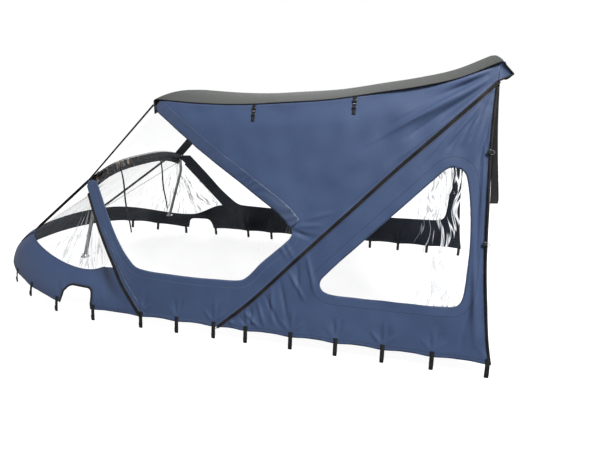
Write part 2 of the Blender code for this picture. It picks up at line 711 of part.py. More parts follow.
def build_nose(parts, looks):
    """Nose apron with its handle cut-outs, front film and header band."""
    zip_fore = parallel(resample(PILLAR_ZIP[:4], GRID), ZIP_WIDTH / 2)
    side_end = [flat_apron(point.x, point.y) for point in zip_fore]
    reach_arc = -side_end[-1].x
    count = math.ceil(2 * reach_arc / GRID)
    inner = [-reach_arc + 2 * reach_arc * index / count for index in range(count + 1)]
    inner = [Vector((arc, apron_reach(arc))) for arc in inner]
    hem_girth = zip_girth(HEM_Z)
    hole = [Vector((arc_of(x), hem_girth + up)) for x, up in HANDLE_HOLE]
    hem_arc = -side_end[0].x
    span = hole[0].x - 0.004
    middle = math.ceil(2 * span / GRID)
    aft = math.ceil((hem_arc - hole[-1].x) / GRID)
    hem = [Vector((hole[-1].x + (hem_arc - hole[-1].x) * index / aft, hem_girth)) for index in range(1, aft)]
    port_hem = [Vector((-point.x, point.y)) for point in reversed(hem)]
    port_hole = [Vector((-point.x, point.y)) for point in reversed(hole)]
    bottom = [Vector((-span + 2 * span * index / middle, hem_girth)) for index in range(1, middle)]
    star_end = [Vector((-point.x, point.y)) for point in side_end]
    outline = [side_end[0]] + port_hem + port_hole + bottom + hole + hem + star_end + inner[::-1][1:-1] + side_end[::-1][:-1]
    sheet("nose_apron", outline, apron_lift, parts, looks["navy"], CLOTH, flip=True)
    top = [Vector((point.x, FILM_RUN)) for point in inner[::-1]]
    ends = [Vector((reach_arc, FILM_RUN * part)) for part in (0.06, 0.12, 0.2, 0.3, 0.5, 0.75)]
    low = [Vector((point.x, 0.004)) for point in inner]
    film = low + ends + top + [Vector((-point.x, point.y)) for point in reversed(ends)]
    sheet("front_film", film, film_lift, parts, looks["film"], FILM, (), FILM_GRID, flip=True)
    run = HEADER_SKIRT + math.pi * HEADER_RADIUS + HEADER_BACK
    half = HEADER_HALF_WIDTH / HEADER_STRETCH
    corners = ((-half, 0.0), (half, 0.0), (half, run), (-half, run))
    band = resample(corners + corners[:1], HEADER_RADIUS)[:-1]
    sheet("header_band", band, header_lift, parts, looks["navy"], CLOTH, (), HEADER_RADIUS, flip=True)


def build_roof(parts, looks):
    """Roof panel with the lips that hang down over the two bows."""
    bend = LIP_RADIUS * math.pi / 2
    front = [SEAM[0][0] - bend - FRONT_LIP] + [SEAM[0][0] - bend * part for part in (1.0, 0.67, 0.33, 0.0)]
    rear = [SEAM[-1][0] + bend * part for part in (0.0, 0.33, 0.67, 1.0)] + [SEAM[-1][0] + bend + REAR_LIP]
    count = math.ceil((rear[0] - front[-1]) / (2 * GRID))
    middle = [front[-1] + (rear[0] - front[-1]) * index / count for index in range(1, count)]
    half = ROOF_HALF_WIDTH + GAP
    long_edge = front + middle + rear
    across = [half * (2 * index / ROOF_COLUMNS - 1.0) for index in range(ROOF_COLUMNS + 1)]
    outline = [Vector((x, -half)) for x in long_edge] + [Vector((long_edge[-1], y)) for y in across[1:]]
    outline += [Vector((x, half)) for x in long_edge[-2::-1]] + [Vector((long_edge[0], y)) for y in across[-2:0:-1]]
    creases = [[Vector((x, y)) for y in across[1:-1]] for x in front[1:] + rear[:-1]]
    sheet("roof_panel", outline, roof_lift, parts, looks["dark"], CLOTH, (), 1.6 * GRID, creases=creases)


def hem_strap_mesh():
    """Webbing sewn over the hem with its clip below it: a profile pushed out to the strap's width.

    Its own x runs along the edge, its y outwards from the outermost line and its z up from the same line.
    """
    def wall(z):
        held = min(z, HEM_Z - WRAP_Z)
        return math.sqrt(WRAP_R ** 2 - held * held) - WRAP_R + 0.0007 - 0.24 * (z - held)

    heights = (0.088, 0.072, 0.056, 0.034, 0.014)
    inner = [(wall(z), z) for z in heights] + [(0.0009, -0.020)]
    outer = [(0.0085, -0.020), (0.0085, 0.014)] + [(wall(z) + WEBBING, z) for z in reversed(heights[:-1])]
    edit = bmesh.new()
    face = edit.faces.new([edit.verts.new((-STRAP_WIDTH / 2, y, z)) for y, z in inner + outer])
    pushed = bmesh.ops.extrude_face_region(edit, geom=[face])
    moved = [item for item in pushed["geom"] if isinstance(item, bmesh.types.BMVert)]
    bmesh.ops.translate(edit, verts=moved, vec=(STRAP_WIDTH, 0.0, 0.0))
    bmesh.ops.recalc_face_normals(edit, faces=edit.faces)
    mesh = bpy.data.meshes.new("hem_strap")
    edit.to_mesh(mesh)
    edit.free()
    return mesh


def build_straps(parts, looks):
    """Straps on the hem, corner tapes, bow straps, roof straps and the hanging window ties."""
    mesh = hem_strap_mesh()
    mesh.materials.append(looks["black"])
    for side, sign in (("port", -1.0), ("starboard", 1.0)):
        for number, x in enumerate(HEM_STRAPS, 1):
            place, outward = edge_point(sign * arc_of(x))
            made = bpy.data.objects.new(f"hem_strap_{side}_{number:02d}", mesh)
            along = Vector((outward.y, -outward.x, 0.0))
            ahead = place.x + 0.01 * along.x
            along.z = (nose_rise(ahead) - nose_rise(place.x)) / 0.01
            along.normalize()
            out = Vector((outward.x, outward.y, 0.0))
            place = Vector((place.x, place.y, WRAP_Z + nose_rise(place.x)))
            made.matrix_world = Matrix((along, out, along.cross(out))).transposed().to_4x4()
            made.location = place
            parts.objects.link(made)
        low = Vector((-0.786, sign * side_breadth(-0.786, 0.888), 0.8888))
        high = Vector((-0.2642, sign * 0.600, 1.392))
        inward = Vector((-0.26, -sign * 0.93, 0.27)).normalized() * TAPE_WIDTH / 2
        path = [low.lerp(high, index / 6) + inward for index in range(7)]
        strip(f"corner_tape_{side}", path, lambda index, half=inward: half, parts, looks["black"])
        arc = sign * BOW_STRAP_ARC
        outward = edge_point(arc)[1]
        along = Vector((-outward.y, outward.x, 0.0)) * STRAP_WIDTH / 2
        arch_z, up = hoop_arch(sign * 0.52)
        path = [Vector((HOOP_X - 0.011, sign * 0.52 + 0.0165 * up.x, arch_z + 0.0165 * up.y))]
        for girth in (0.312, 0.280, 0.245, 0.210):
            turn = girth / WRAP_R
            up = Vector((outward.x * math.cos(turn), outward.y * math.cos(turn), math.sin(turn)))
            path.append(apron_lift(Vector((arc, girth))) + 0.0022 * up)
        strip(f"bow_strap_{side}", path, lambda index, half=along: half, parts, looks["black"])
    for number, x in enumerate(ROOF_STRAPS, 1):
        top = read_table(SEAM, x)
        heights = [top - 0.004 - 0.024 * index for index in range(5)]
        path = [Vector((x, -side_breadth(x, z) - WEBBING / 2 - 0.0008, z)) for z in heights]
        strip(f"roof_strap_{number}", path, lambda index: Vector((0.010, 0.0, 0.0)), parts, looks["black"])
    for number, (y, length) in enumerate(TIES, 1):
        start = header_lift(Vector((y / HEADER_STRETCH, HEADER_SKIRT + math.pi * HEADER_RADIUS + HEADER_BACK)))
        path = [start + Vector((0.012 * part, 0.02 * part, -0.0008 - length * part)) for part in (0.0, 0.25, 0.5, 0.75, 1.0)]
        strip(f"window_tie_{number}", path, lambda index: Vector((0.0, 0.006, 0.0)), parts, looks["black"], CLOTH)


def main():
    """Build the canopy."""
    clear_scene()
    parts = new_collection("boat_canopy")
    cutters = new_collection("cutters")
    looks = {
        "navy": material("navy cloth", (0.045, 0.068, 0.125), 0.55),
        "dark": material("dark roof cloth", (0.022, 0.025, 0.032), 0.60),
        "film": material("clear film", (0.80, 0.83, 0.85), 0.06, alpha=0.18),
        "black": material("black webbing", (0.012, 0.012, 0.013), 0.65),
        "tube": material("aluminium tube", (0.70, 0.71, 0.72), 0.30, metallic=1.0),
    }
    build_frame(parts, cutters, looks)
    build_roof(parts, looks)
    build_sides(parts, looks)
    build_nose(parts, looks)
    build_straps(parts, looks)


main()
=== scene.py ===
"""Looks of a boat canopy: navy sides and nose, grey roof, clear film, zips, webbing and the tubes of its
frame.

Metres, +Z up, +X aft, +Y starboard. Each cloth is a mesh of its flat cut that a drape formula lifts into place.
"""
import math

import bpy
import numpy as np
from mathutils import Matrix
from mathutils.geometry import delaunay_2d_cdt


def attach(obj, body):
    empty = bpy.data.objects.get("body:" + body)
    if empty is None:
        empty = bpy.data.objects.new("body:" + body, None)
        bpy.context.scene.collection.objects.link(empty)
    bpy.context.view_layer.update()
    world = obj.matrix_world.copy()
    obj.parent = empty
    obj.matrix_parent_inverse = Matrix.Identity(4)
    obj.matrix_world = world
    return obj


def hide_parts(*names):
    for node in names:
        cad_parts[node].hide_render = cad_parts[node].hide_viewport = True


SIDES = (("port", -1.0), ("starboard", 1.0))  # name and sign of y

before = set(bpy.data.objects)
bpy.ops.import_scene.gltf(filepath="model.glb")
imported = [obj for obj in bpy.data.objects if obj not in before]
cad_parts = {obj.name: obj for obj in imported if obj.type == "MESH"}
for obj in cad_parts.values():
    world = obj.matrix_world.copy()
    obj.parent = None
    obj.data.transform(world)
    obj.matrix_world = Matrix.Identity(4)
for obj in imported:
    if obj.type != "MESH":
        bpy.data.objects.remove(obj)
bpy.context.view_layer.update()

# Camera at the photo's viewpoint, worked out from the canopy's straight edges.
# The lens is stated as a focal length in pixels of the photo's own width.
CAMERA_PLACE = (1.3815, -3.2212, 1.482)
CAMERA_ANGLES = (-13.609, -17.341, 0.542)  # yaw, pitch and roll, in degrees
FOCAL_PIXELS = 443.58
PHOTO_WIDTH = 613

yaw, pitch, roll = (math.radians(angle) for angle in CAMERA_ANGLES)
ahead = np.array([math.sin(yaw) * math.cos(pitch), math.cos(yaw) * math.cos(pitch), math.sin(pitch)])
level_right = np.array([math.cos(yaw), -math.sin(yaw), 0.0])
level_up = np.cross(level_right, ahead)
right = math.cos(roll) * level_right + math.sin(roll) * level_up
up = math.cos(roll) * level_up - math.sin(roll) * level_right
camera_data = bpy.data.cameras.new("camera")
camera_data.sensor_width = 36.0
camera_data.lens = camera_data.sensor_width * FOCAL_PIXELS / PHOTO_WIDTH
camera_data.clip_end = 200.0
camera = bpy.data.objects.new("camera", camera_data)
camera.matrix_world = Matrix([(*row, place) for row,
                              place in zip(np.array([right, up, -ahead]).T, CAMERA_PLACE)]
                             + [(0.0, 0.0, 0.0, 1.0)])
bpy.context.scene.collection.objects.link(camera)
bpy.context.scene.camera = camera

# Plain pale floor just below the hem straps, a pale surrounding and soft lamps.
# The key lamp stands high on the camera's side, as the photo's light falls on the near cloth.
FLOOR_SIZE = 60.0
FLOOR_Z = -0.002
SURROUNDING = 0.30
FLOOR_GLOW = 0.92
LAMPS = (  # name, x, y, z, size, watts
    ("key", 4.4, -3.6, 7.2, 2.0, 1060.0),
    ("fill", -5.5, -3.6, 2.6, 4.0, 45.0),
    ("back", -1.0, 6.0, 4.5, 4.0, 160.0),
)


def plain_material(name, colour, roughness, metallic=0.0):
    """A material with a Principled BSDF of one colour. Returns it and its shader node."""
    made = bpy.data.materials.new(name)
    made.use_nodes = True
    shader = made.node_tree.nodes["Principled BSDF"]
    shader.inputs["Base Color"].default_value = (*colour, 1.0)
    shader.inputs["Roughness"].default_value = roughness
    shader.inputs["Metallic"].default_value = metallic
    return made, shader


def mesh_piece(name, points, faces, material, maps=None):
    """An object from points and face arrays, each array a row of point numbers for each face.

    maps holds UV maps by name, with a pair of numbers for each point or for each face corner.
    """
    points = np.asarray(points, float).reshape(-1, 3)
    corners = np.concatenate([rows.ravel() for rows in faces])
    sizes = np.concatenate([np.full(len(rows), rows.shape[1]) for rows in faces])
    mesh = bpy.data.meshes.new(name)
    mesh.vertices.add(len(points))
    mesh.vertices.foreach_set("co", points.astype(np.float32).ravel())
    mesh.loops.add(len(corners))
    mesh.loops.foreach_set("vertex_index", corners.astype(np.int32))
    mesh.polygons.add(len(sizes))
    mesh.polygons.foreach_set("loop_start", np.concatenate([[0], np.cumsum(sizes)[:-1]]).astype(np.int32))
    mesh.update(calc_edges=True)
    for key, pairs in (maps or {}).items():
        pairs = pairs.reshape(-1, 2)
        pairs = pairs[corners] if len(pairs) == len(points) else pairs
        mesh.uv_layers.new(name=key).data.foreach_set("uv", pairs.astype(np.float32).ravel())
    mesh.shade_smooth()
    mesh.materials.append(material)
    made = bpy.data.objects.new(name, mesh)
    bpy.context.scene.collection.objects.link(made)
    return made


def grid_faces(rows, columns, around=False, capped=False, flip=False):
    """Faces of a grid of points, a quad for each cell. around joins its last column to the first, capped
    closes its ends."""
    index = np.arange(rows * columns).reshape(rows, columns)
    onward = np.roll(index, -1, axis=1)
    last = columns if around else columns - 1
    quads = np.stack([index[:-1, :last], onward[:-1, :last], onward[1:, :last], index[1:, :last]], axis=-1)
    faces = [quads.reshape(-1, 4)]
    if capped:
        faces += [index[:1, ::-1], index[-1:]]
    return [found[:, ::-1] for found in faces] if flip else faces


def seen_by_camera(tree, seen, otherwise):
    """A value that differs between what the camera sees and what lights the canopy."""
    ray = tree.nodes.new("ShaderNodeLightPath").outputs["Is Camera Ray"]
    node = tree.nodes.new("ShaderNodeMapRange")
    tree.links.new(ray, node.inputs["Value"])
    node.inputs["To Min"].default_value = otherwise
    node.inputs["To Max"].default_value = seen
    return node.outputs["Result"]


floor_look, floor_shader = plain_material("floor", (0.28, 0.28, 0.28), 0.9)
floor_shader.inputs["Specular IOR Level"].default_value = 0.0
floor_shader.inputs["Emission Color"].default_value = (1.0, 1.0, 1.0, 1.0)
floor_look.node_tree.links.new(seen_by_camera(floor_look.node_tree, FLOOR_GLOW, 0.0),
                               floor_shader.inputs["Emission Strength"])
half_floor = FLOOR_SIZE / 2
floor_x, floor_y = np.meshgrid([-half_floor, half_floor], [-half_floor, half_floor])
floor = mesh_piece("floor", np.stack([floor_x, floor_y, np.full((2, 2), FLOOR_Z)], axis=-1),
                   grid_faces(2, 2), floor_look)
world = bpy.data.worlds.new("pale surrounding")
world.use_nodes = True
world.node_tree.nodes["Background"].inputs["Color"].default_value = (1.0, 1.0, 1.0, 1.0)
world.node_tree.links.new(seen_by_camera(world.node_tree, 1.0, SURROUNDING),
                          world.node_tree.nodes["Background"].inputs["Strength"])
bpy.context.scene.world = world
bpy.context.scene.view_settings.view_transform = "Standard"
for lamp_name, lamp_x, lamp_y, lamp_z, lamp_size, watts in LAMPS:
    lamp_data = bpy.data.lights.new(lamp_name, "AREA")
    lamp_data.size = lamp_size
    lamp_data.energy = watts
    lamp = bpy.data.objects.new(lamp_name, lamp_data)
    lamp.location = (lamp_x, lamp_y, lamp_z)
    lamp.rotation_euler = (-lamp.location).to_track_quat("-Z", "Y").to_euler()
    bpy.context.scene.collection.objects.link(lamp)

# Windscreen hoop and the two roof bows: drawn aluminium tube, bent cold, with a foot plate under each hoop
# leg. The bows bear on the roof from below. The tube is dull from handling, with fine scratches.
SEAM = (  # x, z of the seam between roof and side
    (-0.245, 1.426), (0.060, 1.407), (0.324, 1.404), (0.578, 1.418), (0.879, 1.440), (1.162, 1.481),
    (1.377, 1.514),
    (1.581, 1.560), (1.780, 1.640),
)
ROOF_HALF_WIDTH = 0.600
ROOF_CROWN = 0.060
CROWN_POWER = 2.6
CLOTH = 0.0015
HOOP_X = -0.785
HOOP_TUBE = 0.0125
HOOP_HALF_WIDTH = 0.600
HOOP_CROWN_Z = 0.966
HOOP_DROP = 0.085
HOOP_FOOT_X = -0.950
HOOP_KNEE_Z = 0.755
FOOT_PLATE_RADIUS = 0.030
FOOT_Z = 0.290
BOW_TUBE = 0.011
BOW_SEAT = 0.0010
BOW_CORNER_Y = 0.575
BOW_BEND = 0.060
UNDER_ROOF_Y = 0.5
ROOF_GAP = 0.0001
SLOPE_STEP = 0.002
MAIN_BOW_FOOT = (0.560, 0.640, 0.296)
MAIN_BOW_X = 1.780
FRONT_BOW_FOOT = (0.793, 0.604, 0.552)
FRONT_BOW_X = -0.245


def through(rows, at, column=1):
    """Smooth curve through a table: cubic pieces, whose slope at a row is that between its two
    neighbours."""
    table = np.array(rows, float)
    knots, values = table[:, 0], table[:, column]
    after = np.minimum(np.arange(len(knots)) + 1, len(knots) - 1)
    before = np.maximum(np.arange(len(knots)) - 1, 0)
    slopes = (values[after] - values[before]) / (knots[after] - knots[before])
    held = np.clip(at, knots[0], knots[-1])
    low = np.clip(np.searchsorted(knots, held, side="right") - 1, 0, len(knots) - 2)
    span = knots[low + 1] - knots[low]
    part = (held - knots[low]) / span
    start = (1 + 2 * part) * (1 - part) ** 2 * values[low] + part * (1 - part) ** 2 * span * slopes[low]
    end = part ** 2 * (3 - 2 * part) * values[low + 1] + part ** 2 * (part - 1) * span * slopes[low + 1]
    return start + end


def smooth_step(value):
    """3 t squared minus 2 t cubed, with t held between 0 and 1."""
    held = np.clip(value, 0.0, 1.0)
    return held * held * (3.0 - 2.0 * held)


def roof_level(x, y):
    """Height of the roof cloth: the sagging seam line and, across it, a crown that flattens with a power of
    y."""
    crown = ROOF_CROWN * (1.0 - np.abs(y / ROOF_HALF_WIDTH) ** CROWN_POWER)
    return through(SEAM, x) + CLOTH + ROOF_GAP + crown


def hoop_arch(y):
    """Height of the hoop's arch, which falls with the cube of y, and its upward direction across as y and
    z."""
    part = np.abs(y) / HOOP_HALF_WIDTH
    fall = np.sign(y) * 3.0 * HOOP_DROP * part ** 2 / HOOP_HALF_WIDTH
    length = np.sqrt(1.0 + fall ** 2)
    return HOOP_CROWN_Z - HOOP_DROP * part ** 3, fall / length, 1.0 / length


def rounded(corners, radius, steps=14):
    """A path through corners, each rounded by a quadratic curve that starts a radius before it."""
    corners = np.array(corners, float)
    out = [corners[:1]]
    part = np.linspace(0.0, 1.0, steps)[:, None]
    for before, corner, after in zip(corners, corners[1:], corners[2:]):
        start = corner + (before - corner) * radius / np.linalg.norm(before - corner)
        end = corner + (after - corner) * radius / np.linalg.norm(after - corner)
        out.append((1 - part) ** 2 * start + 2 * part * (1 - part) * corner + part ** 2 * end)
    return np.concatenate([*out, corners[-1:]])


def runs(path):
    """Length along a path to each of its points."""
    return np.concatenate([[0.0], np.cumsum(np.linalg.norm(np.diff(path, axis=0), axis=1))])


def evenly(path, count):
    """The path with a number of points, even by length."""
    run = runs(path)
    at = np.linspace(0.0, run[-1], count)
    return np.stack([np.interp(at, run, path[:, axis]) for axis in range(path.shape[1])], axis=-1)


def directions(path):
    """Unit direction of a path at each point."""
    along = np.gradient(path, axis=0)
    return along / np.linalg.norm(along, axis=1, keepdims=True)


def tube_shape(path, radius, sides=20):
    """Points and faces of a circle carried along a path. It stands across the path, measured from the x
    direction."""
    along = directions(path)
    reference = [1.0, 0.0, 0.0] if np.abs(along[:, 0]).max() < 0.95 else [0.0, 1.0, 0.0]
    first = np.cross(along, reference)
    first /= np.linalg.norm(first, axis=1, keepdims=True)
    second = np.cross(along, first)
    turn = np.linspace(0.0, 2 * np.pi, sides, endpoint=False)[None, :, None]
    reach = np.broadcast_to(radius, len(path))[:, None, None]
    ring = path[:, None, :] + reach * (np.cos(turn) * first[:, None, :] + np.sin(turn) * second[:, None, :])
    return ring.reshape(-1, 3), grid_faces(len(path), sides, around=True, capped=True)


def joined(shapes):
    """Points and faces of several shapes as one."""
    points, faces, start = [], [], 0
    for shape_points, shape_faces in shapes:
        points.append(shape_points)
        faces += [rows + start for rows in shape_faces]
        start += len(shape_points)
    return np.concatenate(points), faces


def both_sides(half):
    """A path from the port foot to the starboard foot, made from its starboard half, which starts at the
    foot."""
    return np.concatenate([half * [1.0, -1.0, 1.0], half[-2::-1]])


def hand_over(piece, node=None):
    """The piece belongs to the canopy's one body and stands for a solid: the CAD part of the node, which is
    hidden.
    """
    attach(piece, "root")
    if node:
        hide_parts(node)
    return piece


def shader_group(name, inputs, outputs):
    """An empty node group. inputs are rows of socket name, kind and usual value, outputs of name and
    kind."""
    group = bpy.data.node_groups.new(name, "ShaderNodeTree")
    for socket_name, kind, value in inputs:
        socket = group.interface.new_socket(socket_name, in_out="INPUT", socket_type=kind)
        if value is not None:
            socket.default_value = value
    for socket_name, kind in outputs:
        group.interface.new_socket(socket_name, in_out="OUTPUT", socket_type=kind)
    return group, group.nodes.new("NodeGroupInput"), group.nodes.new("NodeGroupOutput")


def put(tree, kind, values=(), **settings):
    """A node with its settings. values sets or links its inputs, by name or number."""
    node = tree.nodes.new(kind)
    for key, value in settings.items():
        setattr(node, key, value)
    for key, value in dict(values).items():
        if isinstance(value, bpy.types.NodeSocket):
            tree.links.new(value, node.inputs[key])
        else:
            node.inputs[key].default_value = value
    return node


def calculate(tree, operation, first, second=0.0, third=0.0):
    """The output of a Math node."""
    return put(tree, "ShaderNodeMath", {0: first, 1: second, 2: third}, operation=operation).outputs[0]


def mapped(tree, value, low, high, start=0.0, end=1.0):
    """A value that goes from start to end as another goes from low to high."""
    return put(tree, "ShaderNodeMapRange", {"Value": value, "From Min": low, "From Max": high,
                                            "To Min": start,
                                            "To Max": end}).outputs["Result"]


def blend(tree, share, first, second):
    """A colour mixed from two by a share."""
    node = put(tree, "ShaderNodeMix", data_type="RGBA")
    tree.links.new(share, node.inputs["Factor"])
    for key, value in (("A", first), ("B", second)):
        socket = next(found for found in node.inputs if found.name == key and found.type == "RGBA")
        if isinstance(value, bpy.types.NodeSocket):
            tree.links.new(value, socket)
        else:
            socket.default_value = (*value, 1.0)
    return next(found for found in node.outputs if found.type == "RGBA")


# Worn grain: fine noise for tone and height, and slow soiling.
grain, grain_in, grain_out = shader_group(
    "worn_grain",
    (("Place", "NodeSocketVector", None), ("Scale", "NodeSocketFloat", 400.0),
     ("Soiling", "NodeSocketFloat", 3.0)),
    (("Tone", "NodeSocketFloat"), ("Height", "NodeSocketFloat"), ("Soil", "NodeSocketFloat")))
fine = put(grain, "ShaderNodeTexNoise", {"Vector": grain_in.outputs["Place"],
                                         "Scale": grain_in.outputs["Scale"],
                                         "Detail": 4.0, "Roughness": 0.6})
slow = put(grain, "ShaderNodeTexNoise", {"Vector": grain_in.outputs["Place"],
                                         "Scale": grain_in.outputs["Soiling"],
                                         "Detail": 5.0, "Roughness": 0.55})
grain.links.new(fine.outputs["Fac"], grain_out.inputs["Height"])
grain.links.new(calculate(grain, "MULTIPLY_ADD", fine.outputs["Fac"], 0.5, 0.75), grain_out.inputs["Tone"])
grain.links.new(mapped(grain, slow.outputs["Fac"], 0.40, 0.70), grain_out.inputs["Soil"])


def bump(tree, shader, height, strength, distance):
    """Relief of a shader by a height."""
    node = put(tree, "ShaderNodeBump", {"Height": height, "Strength": strength, "Distance": distance})
    tree.links.new(node.outputs["Normal"], shader.inputs["Normal"])


def grained(tree, scale, soiling):
    """The worn grain, placed on the object."""
    place = put(tree, "ShaderNodeTexCoord").outputs["Object"]
    return put(tree, "ShaderNodeGroup", {"Place": place, "Scale": scale, "Soiling": soiling},
               node_tree=grain)


def worn_material(plain, tones, scale, soiling, rough=None, relief=None):
    """A grained material whose soiling goes from one tone to another. Returns it and its shader node.

    plain holds what plain_material takes, rough the grain's share in the roughness and the least roughness,
    relief the strength and the distance of the bump.
    """
    look, shader = plain_material(*plain)
    tree = look.node_tree
    worn = grained(tree, scale, soiling)
    tree.links.new(blend(tree, worn.outputs["Soil"], *tones), shader.inputs["Base Color"])
    if rough:
        tree.links.new(calculate(tree, "MULTIPLY_ADD", worn.outputs["Height"], *rough),
                       shader.inputs["Roughness"])
    if relief:
        bump(tree, shader, worn.outputs["Height"], *relief)
    return look, shader


tube_look = worn_material(("drawn aluminium", (0.62, 0.63, 0.64), 0.30, 1.0),
                          ((0.66, 0.67, 0.68), (0.50, 0.51, 0.52)), 900.0, 9.0, (0.25, 0.20),
                          (0.15, 0.0004))[0]
ARCH_STEPS = 25
HOOP_STEPS = 260
BOW_STEPS = 300

arch_y = HOOP_HALF_WIDTH * np.linspace(0.88, 0.0, ARCH_STEPS)
arch_z = hoop_arch(arch_y)[0]
leg = rounded([(HOOP_FOOT_X, HOOP_HALF_WIDTH, FOOT_Z + 0.003), (HOOP_X, HOOP_HALF_WIDTH, HOOP_KNEE_Z),
               (HOOP_X, HOOP_HALF_WIDTH, arch_z[0] - 0.027), (HOOP_X, arch_y[0], arch_z[0])], 0.035)[:-1]
hoop_half = np.concatenate([leg, np.stack([np.full(ARCH_STEPS, HOOP_X), arch_y, arch_z], axis=-1)])


def turned(profile, centre, sides=32):
    """Points and faces of a profile of radius and height, turned about an upright line at a centre."""
    profile = np.array(profile)
    turn = np.linspace(0.0, 2 * np.pi, sides, endpoint=False)
    ring = np.stack([profile[:, :1] * np.cos(turn), profile[:, :1] * np.sin(turn),
                     np.repeat(profile[:, 1:], sides, axis=1)], axis=-1) + centre
    return ring.reshape(-1, 3), grid_faces(len(profile), sides, around=True, capped=True)


def foot_plate(y):
    """A turned plate under a hoop leg, with rounded rims and a collar for the tube."""
    rim = FOOT_PLATE_RADIUS
    return turned([(0.0001, 0.0), (rim - 0.002, 0.0), (rim, 0.001), (rim, 0.005), (rim - 0.002, 0.006),
                   (0.019, 0.007),
                   (0.0175, 0.009), (0.0165, 0.024), (0.0001, 0.025)], [HOOP_FOOT_X, y, FOOT_Z])


def bow_shape(foot, x):
    """Points and faces of a bow: two legs and a crown that follows the roof from below, its bends
    rounded."""
    under_y = np.linspace(UNDER_ROOF_Y, 0.0, 16)
    seat = CLOTH + BOW_TUBE + BOW_SEAT
    under = np.stack([np.full(16, x), under_y, roof_level(x, under_y) - seat], axis=-1)
    corner = (x, BOW_CORNER_Y, float(roof_level(x, BOW_CORNER_Y)) - seat - BOW_SEAT)
    half = np.concatenate([rounded([foot, corner, under[0]], BOW_BEND)[:-1], under])
    return tube_shape(evenly(both_sides(half), BOW_STEPS), BOW_TUBE)


hoop_shape = joined([tube_shape(evenly(both_sides(hoop_half), HOOP_STEPS), HOOP_TUBE),
                     foot_plate(-HOOP_HALF_WIDTH), foot_plate(HOOP_HALF_WIDTH)])
for name, shape, node in (("hoop_tube", hoop_shape, "windscreen_hoop"),
                          ("main_bow_tube", bow_shape(MAIN_BOW_FOOT, MAIN_BOW_X), "main_bow"),
                          ("front_bow_tube", bow_shape(FRONT_BOW_FOOT, FRONT_BOW_X), "front_bow")):
    hand_over(mesh_piece(name, *shape, tube_look), node)

# Roof: one width of dark grey coated cloth. Its long edges are sewn to the sides with a black welt in the
# seam. Its ends turn down over the bows as lips, the rear one bound in black and leaning aft.
LIP_RADIUS = 0.018
FRONT_LIP = 0.075
REAR_LIP = 0.105
REAR_FLARE = 0.33
CORNER_FLARE = 1.0
CORNER_LIP = 0.047
CORNER_START_Y = 0.420
ROOF_GRID = (230, 112)
RIPPLE_HEIGHT = 0.0028
WELT = 0.0028

# Weave: two sets of threads that pass over and under each other, as a product of two sines.
weave, weave_in, weave_out = shader_group(
    "weave", (("Cut", "NodeSocketVector", None), ("Scale", "NodeSocketFloat", 6000.0)),
    (("Height", "NodeSocketFloat"), ("Slub", "NodeSocketFloat")))
threads = put(weave, "ShaderNodeSeparateXYZ", {0: weave_in.outputs["Cut"]})
warp, weft = (calculate(weave, "SINE", calculate(weave, "MULTIPLY", threads.outputs[axis],
                                                 weave_in.outputs["Scale"]))
              for axis in ("X", "Y"))
weave.links.new(calculate(weave, "MULTIPLY_ADD", calculate(weave, "MULTIPLY", warp, weft), 0.5, 0.5),
                weave_out.inputs["Height"])
slubs = put(weave, "ShaderNodeMapping", {"Vector": weave_in.outputs["Cut"], "Scale": (60.0, 900.0, 1.0)})
weave.links.new(put(weave, "ShaderNodeTexNoise", {"Vector": slubs.outputs["Vector"], "Scale": 1.0,
                                                  "Detail": 2.0}
                    ).outputs["Fac"], weave_out.inputs["Slub"])

# Stitches: dashes along a seam's line. The map holds the run along the line and the distance from it.
stitches, stitches_in, stitches_out = shader_group(
    "stitches", (("Seam", "NodeSocketVector", None), ("Pitch", "NodeSocketFloat", 0.004),
                 ("Width", "NodeSocketFloat", 0.0009)),
    (("Mask", "NodeSocketFloat"), ("Pucker", "NodeSocketFloat")))
seam_map = put(stitches, "ShaderNodeSeparateXYZ", {0: stitches_in.outputs["Seam"]})
seam_away = calculate(stitches, "ABSOLUTE", seam_map.outputs["Y"])
dash = calculate(stitches, "FRACT", calculate(stitches, "DIVIDE", seam_map.outputs["X"],
                                              stitches_in.outputs["Pitch"]))
stitches.links.new(calculate(stitches, "MULTIPLY",
                             calculate(stitches, "LESS_THAN", seam_away, stitches_in.outputs["Width"]),
                             calculate(stitches, "LESS_THAN", dash, 0.72)), stitches_out.inputs["Mask"])
stitches.links.new(mapped(stitches, seam_away, 0.0, 0.004), stitches_out.inputs["Pucker"])


